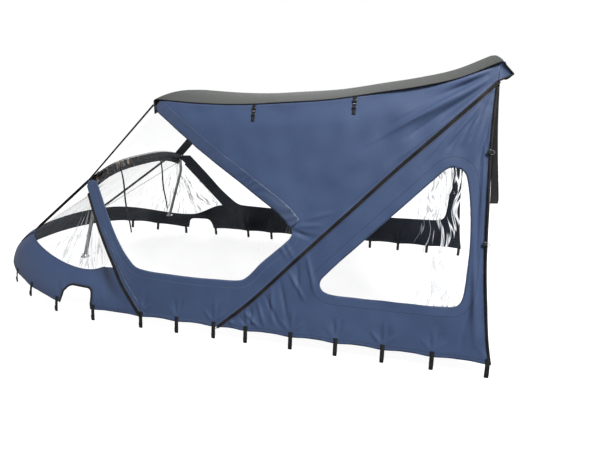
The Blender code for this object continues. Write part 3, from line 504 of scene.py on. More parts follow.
def cloth_look(name, colour, faded, thread, roughness, sheen, thread_width=0.0009, specular=0.5):
    """Coated cloth: weave, slubs, slow fading, stitches in a thread colour, and a sheen at grazing
    angles."""
    look, shader = plain_material(name, colour, roughness)
    tree = look.node_tree
    cut = put(tree, "ShaderNodeUVMap", uv_map="cut").outputs["UV"]
    seams = put(tree, "ShaderNodeUVMap", uv_map="seams").outputs["UV"]
    woven = put(tree, "ShaderNodeGroup", {"Cut": cut, "Scale": 7000.0}, node_tree=weave)
    worn = grained(tree, 260.0, 2.4)
    sewn = put(tree, "ShaderNodeGroup", {"Seam": seams, "Width": thread_width}, node_tree=stitches)
    tone = calculate(tree, "MULTIPLY", worn.outputs["Tone"],
                     calculate(tree, "MULTIPLY_ADD", woven.outputs["Slub"], 0.35, 0.82))
    ground = blend(tree, worn.outputs["Soil"], colour, faded)
    shade = put(tree, "ShaderNodeHueSaturation", {"Color": ground, "Value": tone}).outputs["Color"]
    tree.links.new(blend(tree, sewn.outputs["Mask"], shade, thread), shader.inputs["Base Color"])
    tree.links.new(calculate(tree, "MULTIPLY_ADD", worn.outputs["Soil"], 0.14, roughness - 0.05),
                   shader.inputs["Roughness"])
    relief = calculate(tree, "MULTIPLY_ADD", woven.outputs["Height"], 0.12,
                       calculate(tree, "MULTIPLY_ADD", worn.outputs["Height"], 0.35,
                                 sewn.outputs["Pucker"]))
    bump(tree, shader, relief, 0.45, 0.0008)
    shader.inputs["Specular IOR Level"].default_value = specular
    shader.inputs["Sheen Weight"].default_value = sheen
    shader.inputs["Sheen Roughness"].default_value = 0.45
    return look


def thicken(piece, thickness, offset=-1.0, inside=None):
    """Give a surface its thickness: inwards for an offset of -1, to both sides for 0. inside is the material
    of its inner faces."""
    shell = piece.modifiers.new("thickness", "SOLIDIFY")
    shell.thickness = thickness
    shell.offset = offset
    if inside:
        piece.data.materials.append(inside)
        shell.material_offset = 1
    return piece


def roof_lift(along, across):
    """Roof drape: sagging seam line, crown across, and lips rolled down over the front and rear bow.

    The rear lip is drawn aft and up towards its corners, where it is sewn to the sides.
    """
    front, rear = SEAM[0][0], SEAM[-1][0]
    x = np.clip(along, front, rear)
    over = np.abs(along - x)
    turn = np.minimum(over / LIP_RADIUS, np.pi / 2)
    hang = np.maximum(over - LIP_RADIUS * np.pi / 2, 0.0)
    cornered = smooth_step((np.abs(across) - CORNER_START_Y) / (ROOF_HALF_WIDTH - CORNER_START_Y))
    pull = np.where(along > rear, cornered, 0.0)
    flare = REAR_FLARE + (CORNER_FLARE - REAR_FLARE) * pull
    hang = hang * (1.0 - (1.0 - CORNER_LIP / REAR_LIP) * pull)
    outward = LIP_RADIUS * np.sin(turn) + np.where(along > rear, flare * hang, 0.0)
    drop = LIP_RADIUS * (1.0 - np.cos(turn)) + hang
    return np.stack([x + np.sign(along - x) * outward, across, roof_level(x, across) - drop], axis=-1)


roof_look = cloth_look("dark grey roof cloth", (0.042, 0.045, 0.043), (0.062, 0.066, 0.062),
                       (0.01, 0.01, 0.01),
                       0.7, 0.0, specular=0.25)
bend = LIP_RADIUS * math.pi / 2
roof_ends = (SEAM[0][0] - bend - FRONT_LIP, SEAM[-1][0] + bend + REAR_LIP)
roof_along, roof_across = np.meshgrid(np.linspace(*roof_ends, ROOF_GRID[0]),
                                      np.linspace(-ROOF_HALF_WIDTH, ROOF_HALF_WIDTH, ROOF_GRID[1]),
                                      indexing="ij")
roof_points = roof_lift(roof_along, roof_across)
bow_gap = np.minimum(np.abs(roof_along - FRONT_BOW_X), np.abs(roof_along - MAIN_BOW_X))
ripple = np.sin(roof_across * 9.0 + 1.3 * np.sin(roof_along * 2.1)) * np.sin(roof_along * 3.3 + 0.6)
ripple *= smooth_step(bow_gap / 0.25) * (1 - (roof_across / ROOF_HALF_WIDTH) ** 2)
roof_points[..., 2] += RIPPLE_HEIGHT * ripple
roof_seam = np.stack([roof_along, np.minimum(ROOF_HALF_WIDTH - np.abs(roof_across) - 0.012,
                                             roof_ends[1] - roof_along - 0.014)], axis=-1)
roof = mesh_piece("roof_cloth", roof_points, grid_faces(*ROOF_GRID, flip=True), roof_look,
                  {"cut": np.stack([roof_along, roof_across], axis=-1), "seams": roof_seam})
hand_over(thicken(roof, CLOTH), "roof_panel")

webbing_look, webbing_shader = plain_material("black webbing", (0.008, 0.008, 0.009), 0.6)
webbing_shader.inputs["Specular IOR Level"].default_value = 0.3
tree = webbing_look.node_tree
webbing_cut = put(tree, "ShaderNodeUVMap", uv_map="cut").outputs["UV"]
ribbed = put(tree, "ShaderNodeGroup", {"Cut": webbing_cut, "Scale": 3900.0}, node_tree=weave)
dusty = grained(tree, 500.0, 14.0)
tree.links.new(blend(tree, calculate(tree, "MULTIPLY", dusty.outputs["Soil"], ribbed.outputs["Slub"]),
                     (0.005, 0.005, 0.006), (0.020, 0.020, 0.021)), webbing_shader.inputs["Base Color"])
tree.links.new(calculate(tree, "MULTIPLY_ADD", dusty.outputs["Height"], 0.3, 0.50),
               webbing_shader.inputs["Roughness"])
bump(tree, webbing_shader, ribbed.outputs["Height"], 0.6, 0.0005)


def webbing(name, path, half, thickness=0.002, across=7, node=None):
    """Webbing along a path: a grid of its length and width, thickened to both sides.

    half is its half width as a vector, for the whole path or for each point.
    """
    half = np.broadcast_to(half, path.shape)
    share = np.linspace(-1.0, 1.0, across)
    points = path[:, None, :] + share[None, :, None] * half[:, None, :]
    cut = np.stack(np.broadcast_arrays(runs(path)[:, None], share * np.linalg.norm(half, axis=1)[:, None]),
                   axis=-1)
    piece = mesh_piece(name, points, grid_faces(len(path), across), webbing_look, {"cut": cut})
    return hand_over(thicken(piece, thickness, 0.0), node)


WELT_STEPS = 200
LIP_HEM_STEPS = 160
LIP_HEM_WIDTH = 0.024
seam_x = np.linspace(SEAM[0][0] + 0.003, SEAM[-1][0], WELT_STEPS)
hem_across = np.linspace(-ROOF_HALF_WIDTH, ROOF_HALF_WIDTH, LIP_HEM_STEPS)
for side, sign in SIDES:
    welt_path = np.stack([seam_x, np.full(WELT_STEPS, sign * (ROOF_HALF_WIDTH + 0.0012)),
                          through(SEAM, seam_x)], axis=-1)
    welt_shape = tube_shape(welt_path, WELT, 8)
    hand_over(mesh_piece(f"seam_welt_{side}", *welt_shape, webbing_look,
                         {"cut": np.repeat(np.stack([seam_x, 0 * seam_x], axis=-1), 8, axis=0)}))
hem_top = roof_lift(np.full(LIP_HEM_STEPS, roof_ends[1] - LIP_HEM_WIDTH), hem_across)
half_hem = (roof_lift(np.full(LIP_HEM_STEPS, roof_ends[1]), hem_across) - hem_top) / 2
webbing("rear_lip_hem", hem_top + half_hem + [0.0018, 0.0, 0.0], half_hem, 0.0012, 5)

# Side cloth: a front and a rear panel on each side, navy coated canvas, cut flat and zipped together on the
# diagonal. It hangs in straight lines from the roof seam and wraps the round lower edge, with tension folds
# from its corners.
WRAP_R = 0.267
WRAP_Z = 0.020
EDGE_Y = 0.972
NOSE_START_X = -0.376
NOSE_LENGTH = 1.500
NOSE_POWER = 2.3
NOSE_RISE = 0.100
RISE_START_X = -0.880
RISE_END_X = -1.680
HEM_Z = 0.076
HEM_SCALLOP = 0.007
ZIP_WIDTH = 0.012
BINDING_WIDTH = 0.012
CLOTH_STEP = 0.0088
SEAM_DRAW = 0.140
SHEET_TOP = (  # x, half breadth, z of the upper edge that the side cloth hangs from in straight lines
    (-0.900, 0.655, 0.850), (-0.796, 0.655, 0.850), (-0.245, 0.602, 1.390), (-0.100, 0.600, 1.420),
    (1.900, 0.600, 1.600),
)
HEM_STRAPS = (-1.473, -1.249, -0.962, -0.633, -0.267, -0.010, 0.244, 0.456, 0.742, 1.015, 1.287, 1.560,
              1.852)
REAR_EDGE = (  # z, x
    (0.050, 1.876), (0.200, 1.846), (0.390, 1.822), (0.580, 1.802), (0.760, 1.792), (0.920, 1.786),
    (1.200, 1.774),
    (1.530, 1.776), (1.660, 1.779),
)
PILLAR_ZIP = ((-0.272, HEM_Z), (-0.318, 0.133), (-0.414, 0.245), (-0.492, 0.361), (-0.640, 0.579),
              (-0.780, 0.800))
DIAGONAL = ((0.270, HEM_Z), (0.480, 0.258), (0.771, 0.552), (1.046, 0.827), (1.305, 1.087), (1.560, 1.330),
            (1.779, 1.543))
PILLAR_TOP = ((-0.792, 0.888), (-0.800, 0.842))
WINDOW_LOWER = (
    (-0.712, 0.888), (-0.588, 0.700), (-0.476, 0.532), (-0.352, 0.400), (-0.290, 0.374), (-0.100, 0.364),
    (0.073, 0.361), (0.250, 0.366), (0.400, 0.376), (0.450, 0.405), (0.526, 0.488), (0.610, 0.565),
    (0.690, 0.640), (0.708, 0.672), (0.700, 0.705),
)
SLEEVE_LOWER = (
    (0.700, 0.705), (0.630, 0.775), (0.499, 0.860), (0.365, 0.946), (0.089, 1.121), (-0.100, 1.254),
    (-0.235, 1.352),
)
SLEEVE_WIDTH = 0.070
SEAM_FORE_X = -0.222
REAR_EDGE_TOP = 1.515
REAR_WINDOW = (
    (1.565, 1.093), (1.625, 1.090), (1.658, 1.055), (1.690, 0.900), (1.705, 0.726), (1.704, 0.560),
    (1.692, 0.410),
    (1.664, 0.368), (1.600, 0.357), (1.400, 0.353), (1.200, 0.351), (0.983, 0.351), (0.922, 0.366),
    (0.899, 0.400),
    (0.912, 0.440), (1.115, 0.650), (1.323, 0.858), (1.500, 1.035),
)
FOLDS = (  # x0, z0, x1, z1, height, width of a ridge, or of a trough where the height is below 0
    (1.72, 1.560, 1.18, 1.250, 0.012, 0.045), (1.70, 1.590, 1.05, 1.420, -0.010, 0.050),
    (1.70, 1.560, 1.34, 1.250, -0.009, 0.035), (1.20, 1.250, 0.82, 0.900, 0.008, 0.050),
    (1.74, 1.420, 1.66, 1.120, 0.009, 0.035), (1.76, 1.300, 1.74, 0.500, -0.008, 0.030),
    (1.78, 0.900, 1.80, 0.150, 0.009, 0.030), (0.62, 0.330, 0.40, 0.110, -0.006, 0.035),
    (0.98, 0.300, 0.86, 0.110, 0.006, 0.040), (1.30, 0.310, 1.37, 0.110, 0.006, 0.040),
    (1.56, 0.300, 1.62, 0.110, -0.006, 0.040),
)
FINE_FOLDS = (  # the smaller creases between them, in the same columns
    (1.740, 1.600, 1.400, 1.480, 0.0085, 0.014), (1.740, 1.580, 1.300, 1.400, -0.0085, 0.016),
    (1.750, 1.560, 1.360, 1.330, 0.0085, 0.014), (1.750, 1.550, 1.480, 1.330, -0.0085, 0.012),
    (1.720, 1.500, 1.200, 1.050, 0.0068, 0.014), (1.400, 1.180, 0.980, 0.790, -0.0051, 0.016),
    (1.750, 1.480, 1.620, 1.200, 0.0102, 0.014), (1.730, 1.450, 1.550, 1.180, -0.0085, 0.014),
    (1.700, 1.430, 1.500, 1.170, 0.0085, 0.013), (1.640, 1.370, 1.420, 1.090, -0.0068, 0.013),
    (1.570, 1.300, 1.400, 1.080, 0.0068, 0.014), (1.760, 1.440, 1.710, 1.100, -0.0085, 0.012),
    (1.765, 1.350, 1.745, 0.800, 0.0085, 0.011), (1.780, 1.100, 1.770, 0.450, -0.0085, 0.012),
    (1.775, 0.800, 1.810, 0.180, -0.0102, 0.013), (1.745, 0.560, 1.780, 0.140, 0.0085, 0.014),
    (0.660, 0.640, 0.740, 0.520, 0.0051, 0.012), (0.600, 0.700, 0.900, 0.660, -0.0051, 0.012),
    (0.780, 0.760, 0.960, 0.820, 0.0051, 0.012), (0.720, 0.720, 0.900, 0.740, 0.0051, 0.01),
    (-0.600, 0.600, -0.350, 0.240, 0.0051, 0.016), (-0.300, 0.200, -0.240, 0.110, 0.0068, 0.014),
    (1.735, 1.300, 1.752, 0.620, 0.013, 0.01), (1.752, 1.250, 1.790, 0.250, -0.013, 0.01),
    (1.766, 1.300, 1.779, 0.250, 0.014, 0.010), (1.738, 1.200, 1.742, 0.300, -0.010, 0.011),
    (1.722, 0.900, 1.760, 0.200, 0.013, 0.011), (1.740, 0.420, 1.700, 0.130, -0.007, 0.014),
    (1.745, 1.500, 1.655, 1.230, -0.008, 0.01), (1.700, 1.440, 1.560, 1.150, 0.007, 0.01),
    (1.760, 1.590, 1.100, 1.190, 0.008, 0.012), (1.760, 1.600, 1.200, 1.290, -0.008, 0.012),
    (1.765, 1.570, 1.300, 1.220, -0.007, 0.01), (1.760, 1.610, 1.300, 1.400, 0.006, 0.011),
    (0.600, 0.660, 0.700, 0.520, 0.006, 0.012), (0.640, 0.730, 0.860, 0.640, -0.005, 0.012),
)
GATHER_X = (0.350, 0.392, 0.428, 0.470, 0.512, 0.556, 0.604, 0.650, 0.700, 0.752, 0.806)
PUCKER_FOOT = 0.107
PUCKERS = (  # lean, length and height of the puckers over each hem strap
    (-0.075, 0.075, 0.005), (-0.028, 0.120, -0.005), (0.006, 0.150, 0.005), (0.034, 0.110, -0.005),
    (0.080, 0.070, 0.005),
)
RUMPLES = 9
RUMPLE_SEED = 7
RUMPLE_HEIGHT = 0.0005


def edge_breadth(x):
    """Half breadth of the outermost line: straight, then a blunt superellipse round the nose."""
    part = np.clip((NOSE_START_X - x) / NOSE_LENGTH, 0.0, 1.0)
    return EDGE_Y * (1.0 - part ** NOSE_POWER) ** (1.0 / NOSE_POWER)


def nose_rise(x):
    """Height that the round form gains towards the nose."""
    return NOSE_RISE * smooth_step((RISE_START_X - x) / (RISE_START_X - RISE_END_X))


def ridges(rows, x, z):
    """Sum of ridges: each a bell across its line, and half a sine wave along it."""
    total = np.zeros(np.shape(x))
    for x0, z0, x1, z1, height, width in rows:
        run_x, run_z = x1 - x0, z1 - z0
        part = ((x - x0) * run_x + (z - z0) * run_z) / (run_x ** 2 + run_z ** 2)
        away = np.hypot(x - x0 - part * run_x, z - z0 - part * run_z)
        total += height * np.exp(-(away / width) ** 2) * np.sin(np.pi * np.clip(part, 0.0, 1.0))
    return total


diagonal_rows = np.array(DIAGONAL)
gathers = [(x, np.interp(x, diagonal_rows[:, 0], diagonal_rows[:, 1]) - 0.012,
            x + 0.020 + 0.05 * (number % 3),
            max(0.105, np.interp(x, diagonal_rows[:, 0], diagonal_rows[:, 1]) - 0.19 - 0.03 * (number % 4)),
            0.010 - 0.019 * (number % 2), 0.011) for number, x in enumerate(GATHER_X)]
puckers = [(x + 0.15 * lean, PUCKER_FOOT, x + lean, PUCKER_FOOT + length,
            height * (0.75 + 0.45 * math.sin(37 * x + 900 * height)), 0.010)
           for x in HEM_STRAPS for lean, length, height in PUCKERS]
crease_rows = [*FINE_FOLDS, *gathers, *puckers]
draws = np.random.default_rng(RUMPLE_SEED)
rumple_waves = np.column_stack([draws.uniform(14.0, 46.0, RUMPLES), draws.uniform(-1.2, 1.9, RUMPLES),
                                draws.uniform(0.0, 6.28, RUMPLES)])


def rumple(x, z):
    """Unevenness of a hanging cloth: a sum of waves of 0.13 to 0.45 m, each in its own direction."""
    turns = rumple_waves[:, 0] * (np.expand_dims(x, -1) * np.cos(rumple_waves[:, 1])
                                  + np.expand_dims(z, -1) * np.sin(rumple_waves[:, 1])) + rumple_waves[:, 2]
    return RUMPLE_HEIGHT * np.sin(turns).sum(axis=-1)


def side_breadth(x, z):
    """Half breadth of the side cloth: straight from its top edge to the round form, then around it, with
    its folds."""
    top_y = through(SHEET_TOP, x, 1)
    top_z = through(SHEET_TOP, x, 2)
    centre_y = edge_breadth(x) - WRAP_R
    centre_z = WRAP_Z + nose_rise(x)
    reach = np.hypot(top_y - centre_y, top_z - centre_z)
    tangent = np.arctan2(top_z - centre_z, top_y - centre_y) - np.arccos(WRAP_R / reach)
    touch_y = centre_y + WRAP_R * np.cos(tangent)
    touch_z = centre_z + WRAP_R * np.sin(tangent)
    around = centre_y + np.sqrt(np.maximum(WRAP_R ** 2 - (np.minimum(z, touch_z) - centre_z) ** 2, 0.0))
    lean = (top_y - touch_y) / (top_z - touch_z)
    below_seam = through(SEAM, x) - z
    spare = np.maximum(touch_y + lean * (through(SEAM, x) - touch_z) - ROOF_HALF_WIDTH, 0.0)
    drawn_in = spare * smooth_step(1.0 - below_seam / SEAM_DRAW) * smooth_step((x - SEAM[0][0]) / 0.1)
    straight = touch_y + lean * (z - touch_z) - drawn_in + ridges(FOLDS, x, z)
    edges = smooth_step((z - 0.09) / 0.10) * smooth_step(below_seam / 0.06) * smooth_step((x + 0.76) / 0.15)
    return np.where(z <= touch_z, around, straight) + edges * rumple(x, z) + ridges(crease_rows, x, z)


def side_place(flat, sign, out=0.0):
    """Points of the side cloth for places of its flat cut, moved outwards, square to the cloth, by a
    distance."""
    x, z = flat[..., 0], flat[..., 1]
    small = SLOPE_STEP
    breadth = side_breadth(x, z)
    slope_x = (side_breadth(x + small, z) - side_breadth(x - small, z)) / (2 * small)
    slope_z = (side_breadth(x, z + small) - side_breadth(x, z - small)) / (2 * small)
    outward = np.stack([-slope_x, np.full(x.shape, sign), -slope_z], axis=-1)
    outward /= np.linalg.norm(outward, axis=-1, keepdims=True)
    away = np.expand_dims(np.broadcast_to(out, x.shape), -1)
    return np.stack([x, sign * breadth, z], axis=-1) + away * outward


def curve(points, step, closed=False):
    """A smooth line through points, with even steps: each coordinate is a smooth curve of the chord's
    length."""
    table = np.array([points[-1], *points, points[0], points[1]] if closed else points, float)
    chord = runs(table)
    ends = (chord[1], chord[-2]) if closed else (chord[0], chord[-1])
    at = np.linspace(*ends, 800)
    rows = np.column_stack([chord, table])
    dense = np.stack([through(rows, at, column + 1) for column in range(table.shape[1])], axis=-1)
    return evenly(dense, max(int(runs(dense)[-1] / step), 2) + 1)[:-1 if closed else None]


def parallel(line, distance):
    """The line moved sideways: to its left for a positive distance."""
    along = directions(line)
    return line + distance * np.stack([-along[:, 1], along[:, 0]], axis=-1)


def nearest(points, line):
    """Distance from each point to a line, and the length along the line to the nearest place on it."""
    start, run = line[:-1], np.diff(line, axis=0)
    length = np.linalg.norm(run, axis=1)
    before = runs(line)[:-1]
    found = []
    for some in np.array_split(points, len(points) * len(start) // 1500000 + 1):
        offset = some[:, None, :] - start
        part = np.clip((offset * run).sum(axis=2) / length ** 2, 0.0, 1.0)
        away = np.linalg.norm(offset - part[..., None] * run, axis=2)
        best = away.argmin(axis=1)
        pick = np.arange(len(some))
        found.append(np.stack([away[pick, best], before[best] + part[pick, best] * length[best]], axis=-1))
    return np.concatenate(found)


def within(points, outline):
    """Whether each point lies in a closed outline: a level line from it crosses the outline an odd number
    of times."""
    start, end = outline, np.roll(outline, -1, axis=0)
    rise = np.where(end[:, 1] == start[:, 1], 1.0, end[:, 1] - start[:, 1])
    out = []
    for some in np.array_split(points, len(points) * len(start) // 3000000 + 1):
        level = some[:, 1:]
        crosses = (start[:, 1] > level) != (end[:, 1] > level)
        cross_x = (end[:, 0] - start[:, 0]) * (level - start[:, 1]) / rise + start[:, 0]
        out.append((crosses & (some[:, :1] < cross_x)).sum(axis=1) % 2 == 1)
    return np.concatenate(out)


def cloth_within(points, outline, holes):
    """Whether each point lies in an outline and in none of its holes."""
    kept = within(points, outline)
    for hole in holes:
        kept &= ~within(points, hole)
    return kept


def flat_cut(outline, step, holes=()):
    """Flat cut of a cloth: a grid of points in its outline, joined to triangles with the outline and its
    holes."""
    loops = [outline, *holes]
    low, high = outline.min(axis=0), outline.max(axis=0)
    rise = step * math.sqrt(3) / 2
    row, column = np.meshgrid(np.arange(1, (high[1] - low[1]) / rise),
                              np.arange(0, (high[0] - low[0]) / step))
    grid = np.stack([low[0] + (column + 0.5 * (row % 2)) * step, low[1] + row * rise], axis=-1)
    grid = grid.reshape(-1, 2)
    grid = grid[cloth_within(grid, outline, holes)]
    away = np.min([nearest(grid, np.concatenate([loop, loop[:1]]))[:, 0] for loop in loops], axis=0)
    points = np.concatenate([*loops, grid[away > 0.55 * step]])
    starts = np.cumsum([0] + [len(loop) for loop in loops])
    edges = np.concatenate([np.stack([np.arange(len(loop)), np.roll(np.arange(len(loop)), -1)], axis=-1)
                            + start
                            for loop, start in zip(loops, starts)])
    flat, _, faces, *_ = delaunay_2d_cdt(points.tolist(), edges.tolist(), [], 0, 1e-7)
    flat, faces = np.array(flat)[:, :2], np.array(faces)
    return flat, faces[cloth_within(flat[faces].mean(axis=1), outline, holes)]


def seam_pairs(flat, faces, lines):
    """Map of the stitches: length along a stitch line and distance from it. A face keeps to the line
    nearest to it.

    lines holds pairs of a line and the distance at which the stitches run beside it.
    """
    found = np.stack([nearest(flat, line) - [distance, 0.0] for line, distance in lines])
    chosen = np.abs(found[:, faces, 0]).mean(axis=2).argmin(axis=0)[:, None]
    return found[chosen, faces][..., ::-1]


navy, navy_faded = (0.028, 0.052, 0.122), (0.035, 0.064, 0.142)
front_look = cloth_look("navy canvas, light thread", navy, navy_faded, (0.085, 0.105, 0.16), 0.62, 0.05,
                        0.0011)
rear_look = cloth_look("navy canvas, dark thread", navy, navy_faded, (0.010, 0.014, 0.028), 0.62, 0.05,
                       0.0013)
# Inner faces of the navy cloth: a much darker copy of the canvas, painted shade for the dim inside of the
# canopy.
shaded_inner_look = cloth_look("navy canvas, inner side in painted shade", (0.004, 0.006, 0.014), (0.006, 0.009, 0.018),
                        (0.010, 0.012, 0.020), 0.60, 0.0, specular=0.2)

zip_line = curve(PILLAR_ZIP, CLOTH_STEP)
diagonal = curve(DIAGONAL, CLOTH_STEP)
window_low = curve(WINDOW_LOWER, CLOTH_STEP)
sleeve_low = curve(SLEEVE_LOWER, CLOTH_STEP)
sleeve_high = parallel(sleeve_low, -SLEEVE_WIDTH)
zip_aft = parallel(zip_line, -ZIP_WIDTH / 2)
cut_fore, cut_aft = parallel(diagonal, ZIP_WIDTH / 2), parallel(diagonal, -ZIP_WIDTH / 2)
seam_aft_x = float(through(REAR_EDGE, 1.6)) - 0.002
seam_run = np.arange(seam_aft_x, SEAM_FORE_X, -CLOTH_STEP)
seam_edge = np.stack([seam_run, through(SEAM, seam_run) - 0.0006], axis=-1)
sleeve_high = sleeve_high[sleeve_high[:, 0] > SEAM_FORE_X + 0.03]


def hem_line(x0, x1):
    """Side hem between two places, drawn up a little between the straps."""
    x = np.linspace(x0, x1, int((x1 - x0) / CLOTH_STEP) + 1)[1:-1]
    near = np.abs(x[:, None] - np.array(HEM_STRAPS)).min(axis=1)
    return np.stack([x, HEM_Z + HEM_SCALLOP * smooth_step(near / 0.11)], axis=-1)


hem_fore = hem_line(zip_aft[0, 0], cut_fore[0, 0])
front_outline = np.concatenate([zip_aft[:1], hem_fore, cut_fore, seam_edge, sleeve_high[::-1],
                                window_low[::-1],
                                PILLAR_TOP, zip_aft[::-1][1:-1]])
edge_z = np.linspace(HEM_Z, REAR_EDGE_TOP, int((REAR_EDGE_TOP - HEM_Z) / CLOTH_STEP))
rear_edge = np.stack([through(REAR_EDGE, edge_z), edge_z], axis=-1)
rear_in = rear_edge - [BINDING_WIDTH, 0.0]
hem_aft = hem_line(cut_aft[0, 0], rear_in[0, 0])
rear_outline = np.concatenate([cut_aft[:1], hem_aft, rear_in, cut_aft[::-1][:-1]])
rear_window = curve(REAR_WINDOW, CLOTH_STEP, closed=True)
window_ring = np.concatenate([rear_window, rear_window[:1]])


def side_pieces(name, node, outline, look, lines, holes=(), out=0.0, more=None):
    """A navy cloth of the side, once for each side, from one flat cut. more adds height to a place,
    outwards."""
    flat, faces = flat_cut(outline, CLOTH_STEP, holes)
    seams = seam_pairs(flat, faces, lines)
    height = out + (more(flat) if more else 0.0)
    for side, sign in SIDES:
        points = side_place(flat, sign, height)
        turn = slice(None, None, 1 if sign < 0 else -1)
        piece = mesh_piece(f"{name}_{side}", points, [faces[:, turn]], look,
                           {"cut": flat, "seams": seams[:, turn]})
        hand_over(thicken(piece, CLOTH, inside=shaded_inner_look), f"{node}_{side}")


side_pieces("front_side_cloth", "front_side_panel", front_outline, front_look,
            ((window_low, 0.045), (window_low, 0.005), (hem_fore, 0.020), (diagonal, 0.017),
             (zip_line, 0.017),
             (seam_edge, 0.010), (sleeve_high, 0.004)))
side_pieces("rear_side_cloth", "rear_side_panel", rear_outline, rear_look,
            ((window_ring, 0.055), (window_ring, 0.006), (hem_aft, 0.020), (diagonal, 0.017),
             (rear_edge, 0.018)),
            holes=(rear_window,))

# Corner gusset: a small triangle of navy cloth between each side's rear edge and the roof's rear lip.
# Its foot is bound in black, like the lip that it is sewn to.
GUSSET_FOOT = 1.545
GUSSET_GRID = (16, 12)
CORNER_BINDING = 0.0046
for side, sign in SIDES:
    part = np.linspace(0.0, 1.0, GUSSET_GRID[0])
    edge_height = SEAM[-1][1] - 0.002 + (GUSSET_FOOT - SEAM[-1][1]) * part
    edge_x = through(REAR_EDGE, edge_height) - 0.004
    side_end_line = np.stack([edge_x, sign * (side_breadth(edge_x, edge_height) + 0.0012), edge_height],
                             axis=-1)
    lip_end = roof_lift(SEAM[-1][0] + 0.003 + (bend + REAR_LIP - 0.004) * part,
                        np.full(len(part), sign * 0.5995))
    share = np.linspace(0.0, 1.0, GUSSET_GRID[1])[:, None]
    gusset_points = side_end_line[:, None] + share * (lip_end - side_end_line)[:, None]
    gusset_points[..., 1] -= sign * 0.004 * np.sin(np.pi * share[:, 0]) * part[:, None]
    gusset_cut = gusset_points[..., [0, 2]]
    gusset = mesh_piece(f"corner_gusset_{side}", gusset_points, grid_faces(*GUSSET_GRID, flip=sign < 0),
                        rear_look,
                        {"cut": gusset_cut, "seams": np.full(gusset_cut.shape, 0.5)})
    hand_over(thicken(gusset, CLOTH, inside=shaded_inner_look))
    bound = evenly(rounded([*evenly(lip_end[1:], 5), gusset_points[-1, 0]], 0.004, 5), 70)
    bound[:, 1] += sign * 0.0012
    binding_points, binding_faces = tube_shape(bound, CORNER_BINDING, 12)
    hand_over(mesh_piece(f"corner_binding_{side}", binding_points, binding_faces, webbing_look,
                         {"cut": binding_points[:, [0, 2]]}))

# Sleeve: a doubled band of the same canvas along the front window's upper edge, where the bow strap would
# run. It is stitched along both edges and has wrinkles across it, closest at its aft end.
SLEEVE_END = (-0.243, 1.385)
SLEEVE_LAP = 0.005
sleeve_top = parallel(sleeve_low, -SLEEVE_WIDTH - SLEEVE_LAP)
sleeve_top = sleeve_top[sleeve_top[:, 0] > SEAM_FORE_X + 0.03]
sleeve_outline = np.concatenate([sleeve_top, seam_edge[-1:] - [0.0, 0.002], [SLEEVE_END], sleeve_low[::-1]])


def sleeve_wrinkles(flat):
    """Height of the sleeve's wrinkles: short waves along its run, strongest at mid width and towards its
    aft end."""
    away, run = nearest(flat, sleeve_low).T
    phase = 70.0 * run + 5.0 * np.sin(17.0 * run) + 60.0 * away * np.sin(5.0 * run)
    height = 0.0008 + 0.0030 * smooth_step((0.45 - run) / 0.4) + 0.0010 * np.sin(31.0 * run) ** 2
    return height * np.sin(phase) * np.sin(np.pi * np.clip(away / SLEEVE_WIDTH, 0.0, 1.0))


sleeve_look = cloth_look("navy canvas, sleeve", (0.029, 0.050, 0.112), (0.040, 0.064, 0.130),
                         (0.012, 0.016, 0.030),
                         0.45, 0.1, 0.0011)
side_pieces("sleeve_cloth", "front_sleeve", sleeve_outline, sleeve_look,
            ((sleeve_low, 0.006), (sleeve_top, 0.006)), out=0.0012, more=sleeve_wrinkles)

# Side windows: clear film sewn behind the window edges, rippled where the cloth pulls it.
# It shows haze, and light streaks and patches of painted reflection, most of them at the aft end of the
# rear window.
FILM = 0.0010
FILM_STEP = 0.011

# Film haze and painted reflections: light streaks drawn out along the cut's second direction and light
# patches, both painted reflections, and haze.
haze_and_reflections, haze_and_reflections_in, haze_and_reflections_out = shader_group(
    "film_haze_and_reflections", (("Cut", "NodeSocketVector", None), ("Reflection share", "NodeSocketFloat", 0.0)),
    (("Reflection streak", "NodeSocketFloat"), ("Haze", "NodeSocketFloat"), ("Height", "NodeSocketFloat")))
warped = put(haze_and_reflections, "ShaderNodeTexNoise", {"Vector": haze_and_reflections_in.outputs["Cut"], "Scale": 3.0, "Detail": 2.0})
bent = put(haze_and_reflections, "ShaderNodeVectorMath", {0: warped.outputs["Color"], 1: (0.16, 0.05, 0.0)},
           operation="MULTIPLY")
shifted = put(haze_and_reflections, "ShaderNodeVectorMath", {0: haze_and_reflections_in.outputs["Cut"], 1: bent.outputs[0]},
              operation="ADD")
drawn = put(haze_and_reflections, "ShaderNodeMapping", {"Vector": shifted.outputs[0], "Rotation": (0.0, 0.0, 0.12),
                                         "Scale": (17.0, 1.5, 1.0)})
long_noise = put(haze_and_reflections, "ShaderNodeTexNoise", {"Vector": drawn.outputs["Vector"], "Scale": 1.0,
                                               "Detail": 3.0})
ridge_line = calculate(haze_and_reflections, "ABSOLUTE", calculate(haze_and_reflections, "SUBTRACT", long_noise.outputs["Fac"], 0.5))
# Painted reflection: thin light streaks where the drawn-out noise crosses its middle.
streak = mapped(haze_and_reflections, ridge_line, 0.020, 0.003)
# Painted reflection: light patches where a second noise runs high.
reflection_blot = put(haze_and_reflections, "ShaderNodeTexNoise", {"Vector": haze_and_reflections_in.outputs["Cut"], "Scale": 13.0, "Detail": 6.0,
                                         "Roughness": 0.7})
reflection_blots = mapped(haze_and_reflections, reflection_blot.outputs["Fac"], 0.66, 0.70)
haze_and_reflections.links.new(calculate(haze_and_reflections, "MULTIPLY", haze_and_reflections_in.outputs["Reflection share"],
                          calculate(haze_and_reflections, "MAXIMUM", streak, calculate(haze_and_reflections, "MULTIPLY", reflection_blots, 0.6))),
                haze_and_reflections_out.inputs["Reflection streak"])
haze = put(haze_and_reflections, "ShaderNodeTexNoise", {"Vector": haze_and_reflections_in.outputs["Cut"], "Scale": 5.0, "Detail": 6.0})
haze_and_reflections.links.new(haze.outputs["Fac"], haze_and_reflections_out.inputs["Haze"])
haze_and_reflections.links.new(long_noise.outputs["Fac"], haze_and_reflections_out.inputs["Height"])


